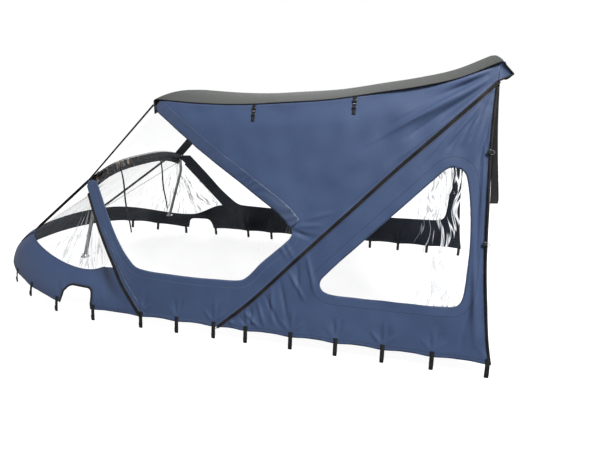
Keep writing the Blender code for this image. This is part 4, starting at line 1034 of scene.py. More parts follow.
def film_look(name, clear, reflection_alpha):
    """Clear film: an alpha that rises with haze, painted reflection streaks and grazing view, over a glossy
    pale colour that the painted reflections turn near white.
    """
    look, shader = plain_material(name, (0.80, 0.83, 0.87), 0.08)
    tree = look.node_tree
    cut = put(tree, "ShaderNodeUVMap", uv_map="cut").outputs["UV"]
    strain = put(tree, "ShaderNodeSeparateXYZ",
                 {0: put(tree, "ShaderNodeUVMap", uv_map="strain").outputs["UV"]}).outputs["X"]
    haze_and_reflection = put(tree, "ShaderNodeGroup", {"Cut": cut, "Reflection share": strain}, node_tree=haze_and_reflections)
    facing = put(tree, "ShaderNodeLayerWeight", {"Blend": 0.35}).outputs["Facing"]
    veil = calculate(tree, "MULTIPLY_ADD", haze_and_reflection.outputs["Haze"], 0.08, clear - 0.04)
    veil = calculate(tree, "MULTIPLY_ADD", facing, 0.10, veil)
    alpha = calculate(tree, "MULTIPLY_ADD", haze_and_reflection.outputs["Reflection streak"], reflection_alpha, veil)
    tree.links.new(put(tree, "ShaderNodeClamp", {"Value": alpha}).outputs[0], shader.inputs["Alpha"])
    # Painted reflection: the streaks and patches turn the film's colour near white.
    tree.links.new(blend(tree, haze_and_reflection.outputs["Reflection streak"], (0.22, 0.25, 0.29), (0.95, 0.96, 0.98)),
                   shader.inputs["Base Color"])
    tree.links.new(calculate(tree, "MULTIPLY_ADD", haze_and_reflection.outputs["Haze"], 0.10, 0.02),
                   shader.inputs["Roughness"])
    bump(tree, shader, haze_and_reflection.outputs["Height"], 0.5, 0.01)
    shader.inputs["Specular IOR Level"].default_value = 0.8
    return look


side_film_look = film_look("clear film", 0.02, 0.75)
window_outline = np.concatenate([window_low, sleeve_low[1:],
                                 np.linspace((-0.240, 1.350), (-0.708, 0.892), 60)[1:-1]])
for name, node, outline, calm_x, wild_x in (
        ("front_window_film", "front_side_window", window_outline, 0.20, 2.20),
        ("rear_window_film", "rear_side_window", rear_window, 1.36, 1.62)):
    flat, faces = flat_cut(outline, FILM_STEP)
    # The same share sets both the film's ripples and where its painted reflections lie.
    flat_strain = smooth_step((flat[:, 0] - calm_x) / (wild_x - calm_x))
    edge_away = nearest(flat, np.concatenate([outline, outline[:1]]))[:, 0]
    swell = 0.0035 * flat_strain * np.sin(85.0 * flat[:, 0] + 3.0
                                          * np.sin(4.0 * flat[:, 1])) * smooth_step(edge_away / 0.03)
    for side, sign in SIDES:
        points = side_place(flat, sign, swell - 0.0003)
        piece = mesh_piece(f"{name}_{side}", points, [faces[:, ::1 if sign < 0 else -1]], side_film_look,
                           {"cut": flat, "strain": np.stack([flat_strain, 0 * flat_strain], axis=-1)})
        hand_over(thicken(piece, FILM), f"{node}_{side}")

# Zips: moulded teeth on black tape, one down each pillar and one along each diagonal, with a slider left at
# the foot. The tape laps the cloth on both sides and is stitched to it.
TAPE_HALF = 0.0095
TOOTH_PITCH = 0.0042
ZIP_COLUMNS = 7
TOOTH = (0.0026, 0.0050, 0.0020)
SLIDER = (0.016, 0.011, 0.0035)
SLIDER_PULL = (0.026, 0.006, 0.0018)
zip_look, zip_shader = worn_material(("black zip tape", (0.008, 0.007, 0.006), 0.5),
                                     ((0.006, 0.005, 0.005), (0.020, 0.016, 0.013)), 700.0, 10.0,
                                     (0.35, 0.28),
                                     (0.4, 0.0006))
zip_shader.inputs["Specular IOR Level"].default_value = 0.35
BOX = np.array([(x, y, z) for x in (-1, 1) for y in (-1, 1) for z in (-1, 1)], float)
BOX_FACES = np.array([(0, 1, 3, 2), (4, 6, 7, 5), (0, 4, 5, 1), (2, 3, 7, 6), (0, 2, 6, 4), (1, 5, 7, 3)])


def boxes(centres, along, across, out, sizes):
    """Points and faces of many small boxes. Each has its own three directions and one shared size along
    each."""
    frame_rows = np.stack([along * sizes[0], across * sizes[1], out * sizes[2]], axis=1) / 2
    points = centres[:, None, :] + np.einsum("bk,nkc->nbc", BOX, frame_rows)
    faces = BOX_FACES[None] + 8 * np.arange(len(centres))[:, None, None]
    return points.reshape(-1, 3), [faces.reshape(-1, 4)]


def side_frame(line, sign):
    """Directions of a line on the side cloth: along it, across it and outwards."""
    along = directions(side_place(line, sign))
    outward = side_place(line, sign, 1.0) - side_place(line, sign)
    across = np.cross(outward, along)
    across /= np.linalg.norm(across, axis=1, keepdims=True)
    return along, across, np.cross(along, across)


def zip_shape(line, sign):
    """Points and faces of a zip: its tape as a closed strip, its teeth in two rows, and the slider at its
    foot."""
    fine_line = evenly(line, int(runs(line)[-1] / 0.008))
    share = np.linspace(-1.0, 1.0, ZIP_COLUMNS)
    rows = np.stack([parallel(fine_line, part * TAPE_HALF) for part in share], axis=1)
    top = side_place(rows, sign, 0.0016)
    low = side_place(rows[:, ::-1], sign, 0.0001)
    tape = np.concatenate([top, low], axis=1)
    shapes = [(tape.reshape(-1, 3), grid_faces(len(fine_line), 2 * ZIP_COLUMNS, around=True, capped=True,
                                               flip=sign < 0))]
    teeth_line = evenly(line, int(runs(line)[-1] / TOOTH_PITCH))
    along, across, out = side_frame(teeth_line, sign)
    middle = side_place(teeth_line, sign, 0.0024)
    stagger = np.where(np.arange(len(middle)) % 2 == 0, 1.0, -1.0)[:, None] * 0.0012
    shapes.append(boxes(middle + stagger * across, along, across, out, TOOTH))
    slider = slice(4, 5)
    axes = along[slider], across[slider], out[slider]
    shapes.append(boxes(middle[slider] + 0.002 * out[slider], *axes, SLIDER))
    shapes.append(boxes(middle[slider] + 0.0045 * out[slider] - 0.014 * along[slider], *axes, SLIDER_PULL))
    return joined(shapes)


for name, node, line in (("pillar_zip_teeth", "pillar_zip", zip_line),
                         ("diagonal_zip_teeth", "diagonal_zip", diagonal)):
    for side, sign in SIDES:
        piece = mesh_piece(f"{name}_{side}", *zip_shape(line, sign), zip_look)
        piece.data.set_sharp_from_angle(angle=math.radians(40))
        hand_over(piece, f"{node}_{side}")

# Pillar stitches: a light row of thread beside each pillar zip, where the cloth is doubled over its tape.
# Each stitch is a short raised length of thread.
STITCH_BESIDE = 0.040
STITCH = (0.0034, 0.0013, 0.0008)
thread_look = worn_material(("light thread", (0.30, 0.33, 0.38), 0.6),
                            ((0.36, 0.39, 0.44), (0.20, 0.22, 0.27)),
                            2000.0, 25.0)[0]
pillar_stitches = parallel(zip_line, -STITCH_BESIDE)
pillar_stitches = evenly(pillar_stitches[pillar_stitches[:, 1] < 0.60], 130)
for side, sign in SIDES:
    along, across, out = side_frame(pillar_stitches, sign)
    stitch_shape = boxes(side_place(pillar_stitches, sign, 0.0003), along, across, out, STITCH)
    hand_over(mesh_piece(f"pillar_stitches_{side}", *stitch_shape, thread_look))

# Rear binding: black tape folded over the rear edge of each side and sewn through, with two toggles on it.
# The toggles are small moulded buttons with a grey ring behind, for the loops of the aft curtain.
TOGGLES = (1.188, 0.712)
BINDING_STEPS = 170
BINDING_SECTION = (  # shift from the edge and height outwards of the folded tape
    (-BINDING_WIDTH - 0.002, 0.0016), (-0.002, 0.0019), (0.0012, 0.0006), (0.0012, -0.0022),
    (-0.002, -0.0035),
    (-BINDING_WIDTH - 0.002, -0.0031),
)
BINDING_RUN = (0.0, 0.012, 0.014, 0.018, 0.020, 0.032)
KNOB = ((0.0001, 0.0), (0.0075, 0.0), (0.0075, 0.004), (0.0125, 0.005), (0.0138, 0.0075), (0.0125, 0.010),
        (0.008, 0.0115), (0.0001, 0.012))
PLASTIC_WEAR = (1500.0, 30.0, (0.3, 0.18), (0.2, 0.0003))
plastic_look = worn_material(("black moulded plastic", (0.015, 0.015, 0.016), 0.32),
                             ((0.010, 0.010, 0.011), (0.028, 0.028, 0.030)), *PLASTIC_WEAR)[0]
grey_plastic_look = worn_material(("grey plastic", (0.20, 0.20, 0.21), 0.35),
                                  ((0.14, 0.14, 0.15), (0.24, 0.24, 0.25)), *PLASTIC_WEAR)[0]
binding_line = evenly(rear_edge, BINDING_STEPS)
for side, sign in SIDES:
    around = np.stack([side_place(binding_line + [shift, 0.0], sign, out) for shift,
                       out in BINDING_SECTION], axis=1)
    cut = np.stack(np.broadcast_arrays(runs(binding_line)[:, None], np.array(BINDING_RUN)[None]), axis=-1)
    piece = mesh_piece(f"rear_binding_tape_{side}", around,
                       grid_faces(BINDING_STEPS, 6, around=True, capped=True, flip=sign > 0), webbing_look,
                       {"cut": cut})
    hand_over(piece, f"rear_binding_{side}")
    for number, height in enumerate(TOGGLES, 1):
        points, faces = turned(KNOB, [0.0, 0.0, 0.0], 24)
        place = side_place(np.array([[float(through(REAR_EDGE, height)) - 0.012, height]]), sign, 0.0018)[0]
        points = np.stack([points[:, 0], points[:, 2] * sign, points[:, 1] * -sign], axis=-1) + place
        hand_over(mesh_piece(f"toggle_{side}_{number}", points, faces, plastic_look))
        turn = np.linspace(0.0, 2 * np.pi, 33)
        ring_path = np.stack([0.014 * np.cos(turn), 0 * turn + sign * 0.0035, 0.011 * np.sin(turn)],
                             axis=-1) + place
        ring_points, ring_faces = tube_shape(ring_path + [0.010, 0.0, -0.004], 0.0014, 8)
        hand_over(mesh_piece(f"toggle_ring_{side}_{number}", ring_points, ring_faces, grey_plastic_look))

# Nose apron: navy canvas wrapped up the round form at the nose, cut out round the two carrying handles.
# Black tape binds the cut-outs. The clear front film is sewn to its upper edge.
APRON_REACH = 0.330
BLEND_LENGTH = 0.450
LEAVE_AT_ZIP = 0.42
LEAVE_AT_NOSE = 1.27
HANDLE_HOLE = ((-0.930, 0.000), (-0.905, 0.085), (-0.885, 0.122), (-0.855, 0.138), (-0.700, 0.138),
               (-0.674, 0.120),
               (-0.660, 0.080), (-0.648, 0.000))
nose_turn = np.linspace(np.pi / 2, 0.0, 241)
nose_path = np.stack([NOSE_START_X - NOSE_LENGTH * np.sin(nose_turn) ** (2.0 / NOSE_POWER),
                      EDGE_Y * np.cos(nose_turn) ** (2.0 / NOSE_POWER)], axis=-1)
nose_arcs = runs(nose_path)


def edge_spot(distance):
    """Point of the outermost line at a length from the nose tip: round the nose, then straight aft."""
    beyond = np.maximum(distance - nose_arcs[-1], 0.0)
    return np.stack([np.interp(distance, nose_arcs, nose_path[:, 0]) + beyond,
                     np.interp(distance, nose_arcs, nose_path[:, 1])], axis=-1)


def edge_point(arc):
    """Points and outward directions on the outermost line. The arc length is 0 at the tip, below 0 to
    port."""
    distance = np.abs(arc)
    spot = edge_spot(distance)
    along = edge_spot(distance + 0.02) - edge_spot(np.maximum(distance - 0.02, 0.0))
    along /= np.linalg.norm(along, axis=-1, keepdims=True)
    outward = np.stack([-along[..., 1], along[..., 0]], axis=-1)
    outward = np.where(distance[..., None] > 0.0005, outward, [-1.0, 0.0])
    sides = np.stack([np.ones(np.shape(arc)), np.where(arc < 0, -1.0, 1.0)], axis=-1)
    return spot * sides, outward * sides


def arc_of(x):
    """Arc length from the nose tip to x."""
    return np.interp(x, nose_path[:, 0], nose_arcs) + np.maximum(x - NOSE_START_X, 0.0)


def zip_line_x(z):
    """x of the pillar zip at a height."""
    return through([(height, x) for x, height in PILLAR_ZIP], z)


def apron_lift(arc, girth):
    """Apron drape: along the edge by arc length, and up the round form by girth from its outermost line.

    Towards the pillar zip the cloth leaves the round form earlier, so that it meets the side cloth there.
    """
    place, outward = edge_point(arc)
    height = WRAP_Z + WRAP_R * np.sin(np.minimum(girth / WRAP_R, LEAVE_AT_ZIP))
    height = height + np.maximum(girth - WRAP_R * LEAVE_AT_ZIP, 0.0) * math.cos(LEAVE_AT_ZIP)
    away = arc_of(zip_line_x(height)) - np.abs(arc)
    leave = LEAVE_AT_ZIP + (LEAVE_AT_NOSE - LEAVE_AT_ZIP) * smooth_step(away / BLEND_LENGTH)
    turn = np.minimum(girth / WRAP_R, leave)
    straight = np.maximum(girth - WRAP_R * leave, 0.0)
    out = WRAP_R * (np.cos(turn) - 1.0) - straight * np.sin(leave)
    level = WRAP_Z + nose_rise(place[..., 0]) + WRAP_R * np.sin(turn) + straight * np.cos(leave)
    x = place[..., 0] + out * outward[..., 0]
    y = place[..., 1] + out * outward[..., 1]
    meet = 1.0 - smooth_step((away - 0.02) / 0.16)
    y = y + meet * (np.where(arc < 0, -1.0, 1.0) * side_breadth(x, level) - y)
    return np.stack([x, y, level], axis=-1)


def apron_reach(arc):
    """Girth at which the apron ends and the front film begins."""
    away = arc_of(PILLAR_ZIP[3][0]) - np.abs(arc)
    return APRON_REACH + 0.036 * (1.0 - smooth_step(away / 0.4))


def zip_girth(z):
    """Girth of the apron on the zip line at a height."""
    leave_z = WRAP_Z + WRAP_R * math.sin(LEAVE_AT_ZIP)
    low = WRAP_R * np.arcsin(np.clip((z - WRAP_Z) / WRAP_R, -1.0, 1.0))
    return np.where(z <= leave_z, low, WRAP_R * LEAVE_AT_ZIP + (z - leave_z) / math.cos(LEAVE_AT_ZIP))


def flat_apron(line):
    """Where a line of the port side, as x and z, lies in the flat cut of the apron. Found by repeated
    correction."""
    flat = np.stack([-arc_of(line[:, 0]), zip_girth(line[:, 1])], axis=-1)
    for _ in range(12):
        place = apron_lift(flat[:, 0], flat[:, 1])
        flat = flat + np.stack([place[:, 0] - line[:, 0], line[:, 1] - place[:, 2]], axis=-1)
    return flat


def stepped(start, end, step):
    """Lengths from start to end in even steps, without the ends."""
    return np.linspace(start, end, int(abs(end - start) / step) + 2)[1:-1]


side_end = flat_apron(parallel(curve(PILLAR_ZIP[:4], CLOTH_STEP), ZIP_WIDTH / 2))
reach_arc = -side_end[-1, 0]
inner_arc = stepped(-reach_arc, reach_arc, CLOTH_STEP)
inner = np.stack([inner_arc, apron_reach(inner_arc)], axis=-1)
hem_girth = float(zip_girth(HEM_Z))
handle_rows = np.array(HANDLE_HOLE)
handle = np.stack([arc_of(handle_rows[:, 0]), hem_girth + handle_rows[:, 1]], axis=-1)
handle = np.concatenate([handle[:1], rounded(handle[1:-1], 0.018, 5), handle[-1:]])
handle = evenly(handle, int(runs(handle)[-1] / CLOTH_STEP))
strap_arcs = arc_of(np.array(HEM_STRAPS))


def apron_hem(start, end):
    """Hem of the apron between two arc lengths, drawn up a little between the straps."""
    arc = stepped(start, end, CLOTH_STEP)
    near = np.abs(np.abs(arc)[:, None] - strap_arcs).min(axis=1)
    return np.stack([arc, hem_girth + HEM_SCALLOP * smooth_step(near / 0.11)], axis=-1)


mirror = np.array([-1.0, 1.0])
aft_hem = apron_hem(handle[-1, 0], -side_end[0, 0])
apron_hems = np.concatenate([side_end[:1], aft_hem[::-1] * mirror, handle[::-1] * mirror,
                             apron_hem(-handle[0, 0], handle[0, 0]), handle, aft_hem])
apron_outline = np.concatenate([apron_hems, side_end * mirror, inner[::-1], side_end[::-1][:-1]])
APRON_FOLDS = (  # arc length from the tip, girth at its foot and head, lean, height, width
    (0.30, 0.060, 0.20, 0.05, 0.003, 0.012), (0.52, 0.060, 0.26, -0.04, -0.003, 0.014),
    (0.80, 0.060, 0.22, 0.06, 0.003, 0.012), (1.16, 0.080, 0.28, 0.10, 0.004, 0.015),
    (1.48, 0.060, 0.20, -0.10, -0.004, 0.012), (1.55, 0.065, 0.24, -0.16, 0.004, 0.013),
    (1.66, 0.070, 0.16, -0.12, -0.004, 0.011), (1.76, 0.070, 0.14, -0.10, 0.004, 0.010),
    (1.86, 0.075, 0.20, -0.06, 0.003, 0.012),
)


def apron_place(flat, out=0.0):
    """Points of the apron with its small folds, moved outwards by a distance."""
    arc, girth = flat[..., 0], flat[..., 1]
    small = SLOPE_STEP
    along = apron_lift(arc + small, girth) - apron_lift(arc - small, girth)
    rise = apron_lift(arc, girth + small) - apron_lift(arc, girth - small)
    outward = np.cross(rise, along)
    outward /= np.linalg.norm(outward, axis=-1, keepdims=True)
    rows = [(place, low, place + lean, high, height, width) for place, low, high, lean, height,
            width in APRON_FOLDS]
    folds = ridges(rows, np.abs(arc), girth)
    swell = 0.0016 * np.sin(17.0 * arc + 9.0 * girth) * np.sin(24.0 * girth + 5.0 * np.sin(3.0 * arc))
    calm = smooth_step((girth - hem_girth - 0.02) / 0.08) * smooth_step((APRON_REACH - girth) / 0.06)
    calm = calm * smooth_step((reach_arc + 0.1 - np.abs(arc)) / 0.2)
    return apron_lift(arc, girth) + np.expand_dims(folds + calm * swell + out, -1) * outward


flat, faces = flat_cut(apron_outline, CLOTH_STEP)
apron_top = np.concatenate([side_end[-1:], inner, side_end[-1:] * mirror])
apron_seams = seam_pairs(flat, faces, ((apron_top, 0.012), (apron_hems, 0.020), (side_end, 0.010),
                                       (side_end * mirror, 0.010)))
apron_points = apron_place(flat)
apron = mesh_piece("nose_apron_cloth", apron_points, [faces[:, ::-1]], rear_look,
                   {"cut": flat, "seams": apron_seams[:, ::-1]})
hand_over(thicken(apron, CLOTH, inside=shaded_inner_look), "nose_apron")
for side, sign in SIDES:
    ring = np.stack([parallel(handle, reach) for reach in (-0.006, 0.0, 0.009)], axis=1) * [sign, 1.0]
    ring_points = apron_place(ring, 0.0010)
    ring_cut = np.stack(np.broadcast_arrays(runs(handle)[:, None], np.array([0.0, 0.006, 0.015])[None]),
                        axis=-1)
    binding = mesh_piece(f"handle_binding_{side}", ring_points, grid_faces(len(handle), 3), webbing_look,
                         {"cut": ring_cut})
    hand_over(thicken(binding, 0.0034, 0.0))

# Header band and front film: a black band sewn round the hoop, and clear film from it down to the nose
# apron. The band is glossy, with a few brownish streaks of painted reflection on its port part. Its hem
# hangs behind the hoop.
SLEEVE_CLEARANCE = 0.0024
HEADER_SKIRT = 0.072
HEADER_BACK = 0.030
HEADER_HALF_WIDTH = 0.620
HEADER_GRID = (40, 240)
FILM_GRID = (90, 260)
HEADER_RADIUS = HOOP_TUBE + SLEEVE_CLEARANCE + CLOTH
HEADER_RUN = HEADER_SKIRT + math.pi * HEADER_RADIUS + HEADER_BACK


def header_lift(y, run, out=0.0):
    """Header drape: a skirt before the hoop, a half turn over it and a short hem behind it, moved out by a
    distance."""
    z, up_y, up_z = hoop_arch(y)
    beyond = run - HEADER_SKIRT
    turned_by = np.clip(beyond / HEADER_RADIUS, 0.0, np.pi)
    rise = np.minimum(beyond, 0.0) - np.maximum(beyond - math.pi * HEADER_RADIUS, 0.0)
    rise = rise + (HEADER_RADIUS + out) * np.sin(turned_by)
    return np.stack([HOOP_X - (HEADER_RADIUS + out) * np.cos(turned_by), y + rise * up_y, z + rise * up_z],
                    axis=-1)


header_run, header_y = np.meshgrid(np.linspace(0.0, HEADER_RUN, HEADER_GRID[0]),
                                   np.linspace(-HEADER_HALF_WIDTH, HEADER_HALF_WIDTH, HEADER_GRID[1]),
                                   indexing="ij")
skirt = smooth_step((HEADER_SKIRT - header_run) / 0.03)
skirt += smooth_step((header_run - HEADER_RUN + 0.02) / 0.02)
wave = 0.0016 * np.sin(38.0 * header_y + 2.0 * np.sin(11.0 * header_y))
wave += 0.0009 * np.sin(91.0 * header_y + 30.0 * header_run)
header_look = cloth_look("black glossy header", (0.005, 0.006, 0.008), (0.012, 0.011, 0.010),
                         (0.03, 0.03, 0.03), 0.30, 0.0)
header_tree = header_look.node_tree
header_shader = header_tree.nodes["Principled BSDF"]
header_shader.inputs["Coat Weight"].default_value = 0.5
header_shader.inputs["Coat Roughness"].default_value = 0.06
header_cut = put(header_tree, "ShaderNodeUVMap", uv_map="cut").outputs["UV"]
# Painted reflection: brownish streaks over the port part of the band.
header_reflection_share = mapped(header_tree, put(header_tree, "ShaderNodeSeparateXYZ", {0: header_cut}).outputs["X"],
                     0.10, -0.25)
header_haze_and_reflections = put(header_tree, "ShaderNodeGroup", {"Cut": header_cut, "Reflection share": header_reflection_share},
                   node_tree=haze_and_reflections)
header_ground = header_shader.inputs["Base Color"].links[0].from_socket
header_tree.links.new(blend(header_tree, header_haze_and_reflections.outputs["Reflection streak"], header_ground, (0.40, 0.31, 0.24)),
                      header_shader.inputs["Base Color"])
header = mesh_piece("header_band_cloth", header_lift(header_y, header_run, 0.0004 + np.abs(wave) * skirt),
                    grid_faces(*HEADER_GRID, flip=True), header_look,
                    {"cut": np.stack([header_y, header_run], axis=-1),
                     "seams": np.stack([header_y, np.abs(header_run - 0.045) - 0.002], axis=-1)})
hand_over(thicken(header, CLOTH), "header_band")


def film_place(arc, part):
    """Front film drape: straight lines from the apron's edge to the header band. Its ends follow the pillar
    zips."""
    end_arc = arc_of(PILLAR_ZIP[3][0])
    share = arc / end_arc
    low = apron_lift(arc, apron_reach(arc))
    fanned = np.sign(arc) * (1.0 - (1.0 - np.minimum(np.abs(share), 1.0) ** 1.5) ** 2.4)
    high = header_lift(fanned * HEADER_HALF_WIDTH * 1.06, np.full(np.shape(arc), -0.0012))
    place = low + (high - low) * part[..., None]
    ramp = 3.0 * (1.0 - np.minimum(np.abs(share), 0.997))
    bound = smooth_step((np.abs(share) - 0.90) / 0.10) * np.minimum(part / ramp, 1.0)
    breadth = np.where(arc < 0, -1.0, 1.0) * side_breadth(place[..., 0], place[..., 2])
    x = place[..., 0] + bound * (zip_line_x(place[..., 2]) - 0.8 * ZIP_WIDTH - place[..., 0])
    y = place[..., 1] + bound * (breadth - place[..., 1])
    return np.stack([x, y, place[..., 2]], axis=-1)


film_part, film_arc = np.meshgrid(np.linspace(0.007, 1.0, FILM_GRID[0]),
                                  np.linspace(-reach_arc, reach_arc, FILM_GRID[1]), indexing="ij")
film_points = film_place(film_arc, film_part)
film_wave = np.sin(np.pi * film_part) * (0.004 * np.sin(15.0 * film_arc + 2.0 * film_part)
                                         + 0.002 * np.sin(41.0 * film_arc - 5.0 * film_part))
film_out = np.cross(np.gradient(film_points, axis=0), np.gradient(film_points, axis=1))
film_out /= np.linalg.norm(film_out, axis=-1, keepdims=True) + 1e-12
calm_end = smooth_step((reach_arc - np.abs(film_arc)) / 0.12)
film_points = film_points + (film_wave * calm_end)[..., None] * film_out
# The front film's painted reflections are faint over its middle and strongest beyond 1.05 m of arc from the
# tip.
front_film_look = film_look("front film", 0.03, 0.85)
front_film = mesh_piece("front_film_sheet", film_points, grid_faces(*FILM_GRID, flip=True), front_film_look,
                        {"cut": np.stack([film_arc, 0.6 * film_part], axis=-1),
                         "strain": np.stack([0.10 + 0.6 * smooth_step((np.abs(film_arc) - 1.05) / 0.35),
                                             0 * film_arc], axis=-1)})
hand_over(thicken(front_film, FILM), "front_film")

# Aft curtains: the rear curtain rolled and left hanging as a dark gathered strip behind each rear edge.
# The cloth is the roof's weave in black, in folds that close towards the foot.
CURTAIN_TOP = 1.585
CURTAIN_FOOT = 0.920
CURTAIN_WIDTH = 0.300
CURTAIN_FOLD = 0.100
CURTAIN_GRID = (110, 90)
curtain_look = cloth_look("black curtain cloth", (0.006, 0.006, 0.007), (0.011, 0.011, 0.013),
                          (0.02, 0.02, 0.02),
                          0.6, 0.0, specular=0.25)
curtain_across, curtain_z = np.meshgrid(np.linspace(0.0, CURTAIN_WIDTH, CURTAIN_GRID[1]),
                                        np.linspace(CURTAIN_FOOT, CURTAIN_TOP, CURTAIN_GRID[0]))
fallen = (CURTAIN_TOP - curtain_z) / (CURTAIN_TOP - CURTAIN_FOOT)
curtain_edge = through(REAR_EDGE, curtain_z)
curtain_folds = 1.0 - np.cos(2 * np.pi * curtain_across / CURTAIN_FOLD)
curtain_swell = (0.0035 + 0.0165 * smooth_step(fallen)) * curtain_folds
curtain_swell += 0.0016 * fallen * np.sin(60.0 * curtain_across + 7.0 * curtain_z)
curtain_x = curtain_edge + 0.0032 + curtain_swell + (0.02 + 0.05 * fallen) * curtain_across
curtain_y = side_breadth(curtain_edge, curtain_z) - (0.85 - 0.45 * smooth_step(fallen)) * curtain_across
curtain_y -= 0.006 * smooth_step((curtain_z - 1.48) / 0.03)
for side, sign in SIDES:
    piece = mesh_piece(f"aft_curtain_cloth_{side}",
                       np.stack([curtain_x, sign * curtain_y, curtain_z], axis=-1),
                       grid_faces(*CURTAIN_GRID, flip=sign > 0), curtain_look,
                       {"cut": np.stack([curtain_across, curtain_z], axis=-1),
                        "seams": np.stack([curtain_across, curtain_z - CURTAIN_FOOT - 0.012], axis=-1)})
    hand_over(thicken(piece, CLOTH), f"aft_curtain_{side}")

# Tapes and straps of the frame: corner tapes from pillar to roof, bow straps down to the apron, ties on the
# header. They are woven black webbing, pulled tight but for the ties, whose ends hang free.
TAPE_WIDTH = 0.100
BOW_STRAP_ARC = 0.560
STRAP_WIDTH = 0.025
STAY_WIDTH = 0.004
TIES = ((-0.320, 0.520), (0.230, 0.470))  # y and fall
TIE_WIDTH = 0.012
TAPE_LOW = (-0.786, 0.888)  # x and z on the side cloth
TAPE_HIGH = (-0.2642, 0.600, 1.392)
TAPE_LEAN = (-0.26, 0.93, 0.27)
ROLLED_EDGE = 0.0055
BOW_STRAP_Y = 0.52
BOW_STRAP_OVER_HOOP = 0.0165
BOW_STRAP_GIRTHS = (0.312, 0.296, 0.280, 0.262, 0.245, 0.227, 0.210)
STAY_FOOT = (0.60, 0.33)  # arc and girth on the apron
STAY_HEAD_Y = 0.575


for side, sign in SIDES:
    low_end = np.array([TAPE_LOW[0], sign * float(side_breadth(*TAPE_LOW)), TAPE_LOW[1] + 0.0008])
    high_end = np.array([TAPE_HIGH[0], sign * TAPE_HIGH[1], TAPE_HIGH[2]])
    inward = np.array([TAPE_LEAN[0], -sign * TAPE_LEAN[1], TAPE_LEAN[2]])
    inward = inward / np.linalg.norm(inward) * TAPE_WIDTH / 2
    tape = webbing(f"corner_tape_webbing_{side}", evenly(np.array([low_end, high_end]), 80) + inward,
                   inward, 0.002,
                   13, node=f"corner_tape_{side}")
    bead_points, bead_faces = tube_shape(evenly(np.array([low_end, high_end]), 60), ROLLED_EDGE, 10)
    hand_over(mesh_piece(f"corner_tape_rolled_edge_{side}", bead_points, bead_faces, webbing_look,
                         {"cut": bead_points[:, [0, 1]]}))
    arc = np.array(sign * BOW_STRAP_ARC)
    outward = edge_point(arc)[1]
    half = np.array([-outward[1], outward[0], 0.0]) * STRAP_WIDTH / 2
    arch_top, up_y, up_z = (float(found) for found in hoop_arch(np.array(sign * BOW_STRAP_Y)))
    bends = [(HOOP_X - 0.011, sign * BOW_STRAP_Y + BOW_STRAP_OVER_HOOP * up_y,
              arch_top + BOW_STRAP_OVER_HOOP * up_z)]
    for girth in BOW_STRAP_GIRTHS:
        turn = girth / WRAP_R
        lift_up = np.array([outward[0] * math.cos(turn), outward[1] * math.cos(turn), math.sin(turn)])
        bends.append(apron_lift(arc, np.array(girth)) + 0.0026 * lift_up)
    strap_path = evenly(rounded(bends, 0.006, 4), 120)
    free = np.clip(runs(strap_path) / np.linalg.norm(bends[1] - np.array(bends[0])), 0.0, 1.0)
    twist = (1.35 * smooth_step(6.0 * free) * smooth_step(6.0 * (1.0 - free)))[:, None]
    half = np.cos(twist) * half + np.sin(twist) * np.cross(directions(strap_path), half)
    bow_strap = webbing(f"bow_strap_webbing_{side}", strap_path, half, node=f"bow_strap_{side}")
stay_low = apron_lift(*np.array(STAY_FOOT)) + [0.0, 0.0, 0.004]
stay_high = header_lift(np.array(STAY_HEAD_Y), np.array(0.0)) + [-0.004, 0.0, 0.0]
stay_path = evenly(np.array([stay_high, stay_low]), 60)
stay = webbing("stay_tape", stay_path, [0.0, 0.0, STAY_WIDTH / 2], 0.0012, 3)
for number, (y, length) in enumerate(TIES, 1):
    fall = np.linspace(0.0, 1.0, 50)[:, None]
    top = header_lift(np.array(y), np.array(HEADER_RUN))
    sway = np.concatenate([0.012 * fall + 0.004 * np.sin(9 * fall), 0.02 * fall + 0.003 * np.sin(7 * fall),
                           -0.0008 - length * fall], axis=1)
    twist = 0.9 * np.sin(3.0 * fall[:, 0])
    half = TIE_WIDTH / 2 * np.stack([np.sin(twist), np.cos(twist), 0 * twist], axis=-1)
    tie = webbing(f"window_tie_webbing_{number}", top + sway, half, 0.0015, 5, node=f"window_tie_{number}")

# Hem straps: webbing sewn over the hem with a moulded hook below it, at each of the places along the edge.
# Two short straps with black buckles and a grey bar are sewn under the roof seam on the port side.
WEBBING = 0.0020
STRAP_ROWS = 22
ROOF_STRAP_LENGTH = 0.096
ROOF_STRAP_ROWS = 40
BUCKLES = (  # row of the strap, half size, look
    (9, (0.0125, 0.0042, 0.008), plastic_look), (16, (0.0085, 0.0030, 0.0026), grey_plastic_look),
    (24, (0.0115, 0.0036, 0.006), plastic_look),
)
ROOF_STRAPS = (0.418, 1.025)


def strap_wall(z):
    """Distance of the strap from the outermost line: round the form up to the hem, then straight and
    leaning in."""
    held = np.minimum(z, HEM_Z - WRAP_Z)
    return np.sqrt(WRAP_R ** 2 - held ** 2) - WRAP_R + 0.0007 - 0.24 * (z - held)


def rounded_box(centre, half, power=0.35, rows=9, columns=20):
    """Points and faces of a rounded box: a sphere's two angles, with sines and cosines raised to a power
    below 1."""
    lift = np.linspace(-np.pi / 2 + 0.02, np.pi / 2 - 0.02, rows)[:, None]
    turn = np.linspace(0.0, 2 * np.pi, columns, endpoint=False)[None, :]
    swell = [np.sign(f) * np.abs(f) ** power for f in (np.cos(lift), np.sin(lift), np.cos(turn),
                                                       np.sin(turn))]
    ball = np.stack(np.broadcast_arrays(swell[0] * swell[2], swell[0] * swell[3], swell[1]), axis=-1)
    return (centre + ball * half).reshape(-1, 3), grid_faces(rows, columns, around=True, capped=True)


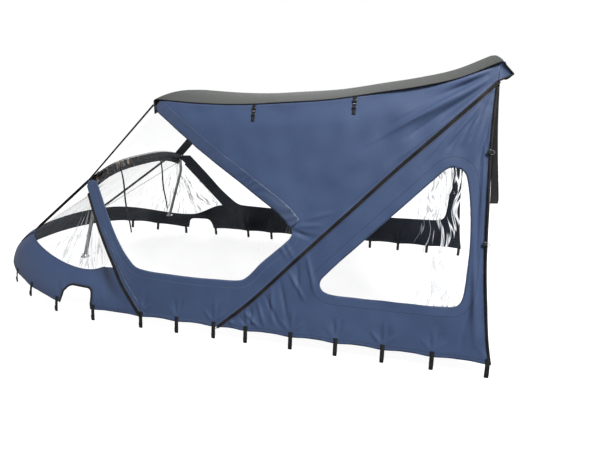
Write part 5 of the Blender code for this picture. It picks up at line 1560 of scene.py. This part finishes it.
def strap_shape():
    """Points and faces of a hem strap in its own frame: webbing, a hook body with three ridges on it, and a
    slot bar."""
    heights = np.linspace(0.088, 0.004, STRAP_ROWS)
    half = STRAP_WIDTH / 2
    widths = half * np.array([-1.0, -0.96, 0.96, 1.0])
    outer = np.stack([np.stack([np.full(4, 0.0), np.full(4, strap_wall(z)), np.full(4, z)], axis=-1)
                      for z in heights])
    outer[..., 0] = widths
    front = outer + [0.0, WEBBING, 0.0]
    front[:, [0, -1], 1] -= 0.0006
    loop = np.concatenate([outer[:, ::-1], front], axis=1)
    body = rounded_box([0.0, 0.0047, -0.001], [half, 0.0038, 0.0180])
    ridge = [rounded_box([0.0, 0.0080, z], [half * 0.72, 0.0011, 0.0016], rows=7, columns=14)
             for z in (-0.010, -0.004, 0.002)]
    bar_path = np.stack([np.linspace(-half, half, 8), np.full(8, 0.0040), np.full(8, 0.0165)], axis=-1)
    bar = tube_shape(bar_path, 0.0022, 10)
    return joined([(loop.reshape(-1, 3), grid_faces(STRAP_ROWS, 8, around=True, capped=True)), body, *ridge,
                   bar])


strap_points, strap_faces = strap_shape()
strap_cut = strap_points[:, [2, 0]]
for side, sign in SIDES:
    for number, x in enumerate(HEM_STRAPS, 1):
        place, outward = edge_point(sign * arc_of(np.array(x)))
        along = np.array([outward[1], -outward[0], 0.0])
        along[2] = float(nose_rise(place[0] + 0.01 * along[0]) - nose_rise(place[0])) / 0.01
        along /= np.linalg.norm(along)
        out = np.array([*outward, 0.0])
        axes = np.stack([along, out, np.cross(along, out)])
        points = strap_points @ axes + [place[0], place[1], WRAP_Z + float(nose_rise(place[0]))]
        piece = mesh_piece(f"hem_strap_webbing_{side}_{number:02d}", points, strap_faces, webbing_look,
                           {"cut": strap_cut})
        piece.data.set_sharp_from_angle(angle=math.radians(50))
        hand_over(piece, f"hem_strap_{side}_{number:02d}")
for number, x in enumerate(ROOF_STRAPS, 1):
    heights = float(through(SEAM, x)) - 0.004 - np.linspace(0.0, ROOF_STRAP_LENGTH, ROOF_STRAP_ROWS)
    line = np.stack([np.full(ROOF_STRAP_ROWS, x), heights], axis=-1)
    path = side_place(line, -1.0, 0.0026)
    webbing(f"roof_strap_webbing_{number}", path, [0.010, 0.0, 0.0], node=f"roof_strap_{number}")
    along, across, out = side_frame(line, -1.0)
    for index, half_size, look in BUCKLES:
        body_points, body_faces = rounded_box([0.0, 0.0, 0.0], half_size)
        rotated = body_points @ np.array([[1.0, 0.0, 0.0], out[index],
                                          -along[index]]) + path[index] + 0.0030 * out[index]
        buckle = mesh_piece(f"roof_strap_buckle_{number}_{index}", rotated, body_faces, look)
        hand_over(buckle)
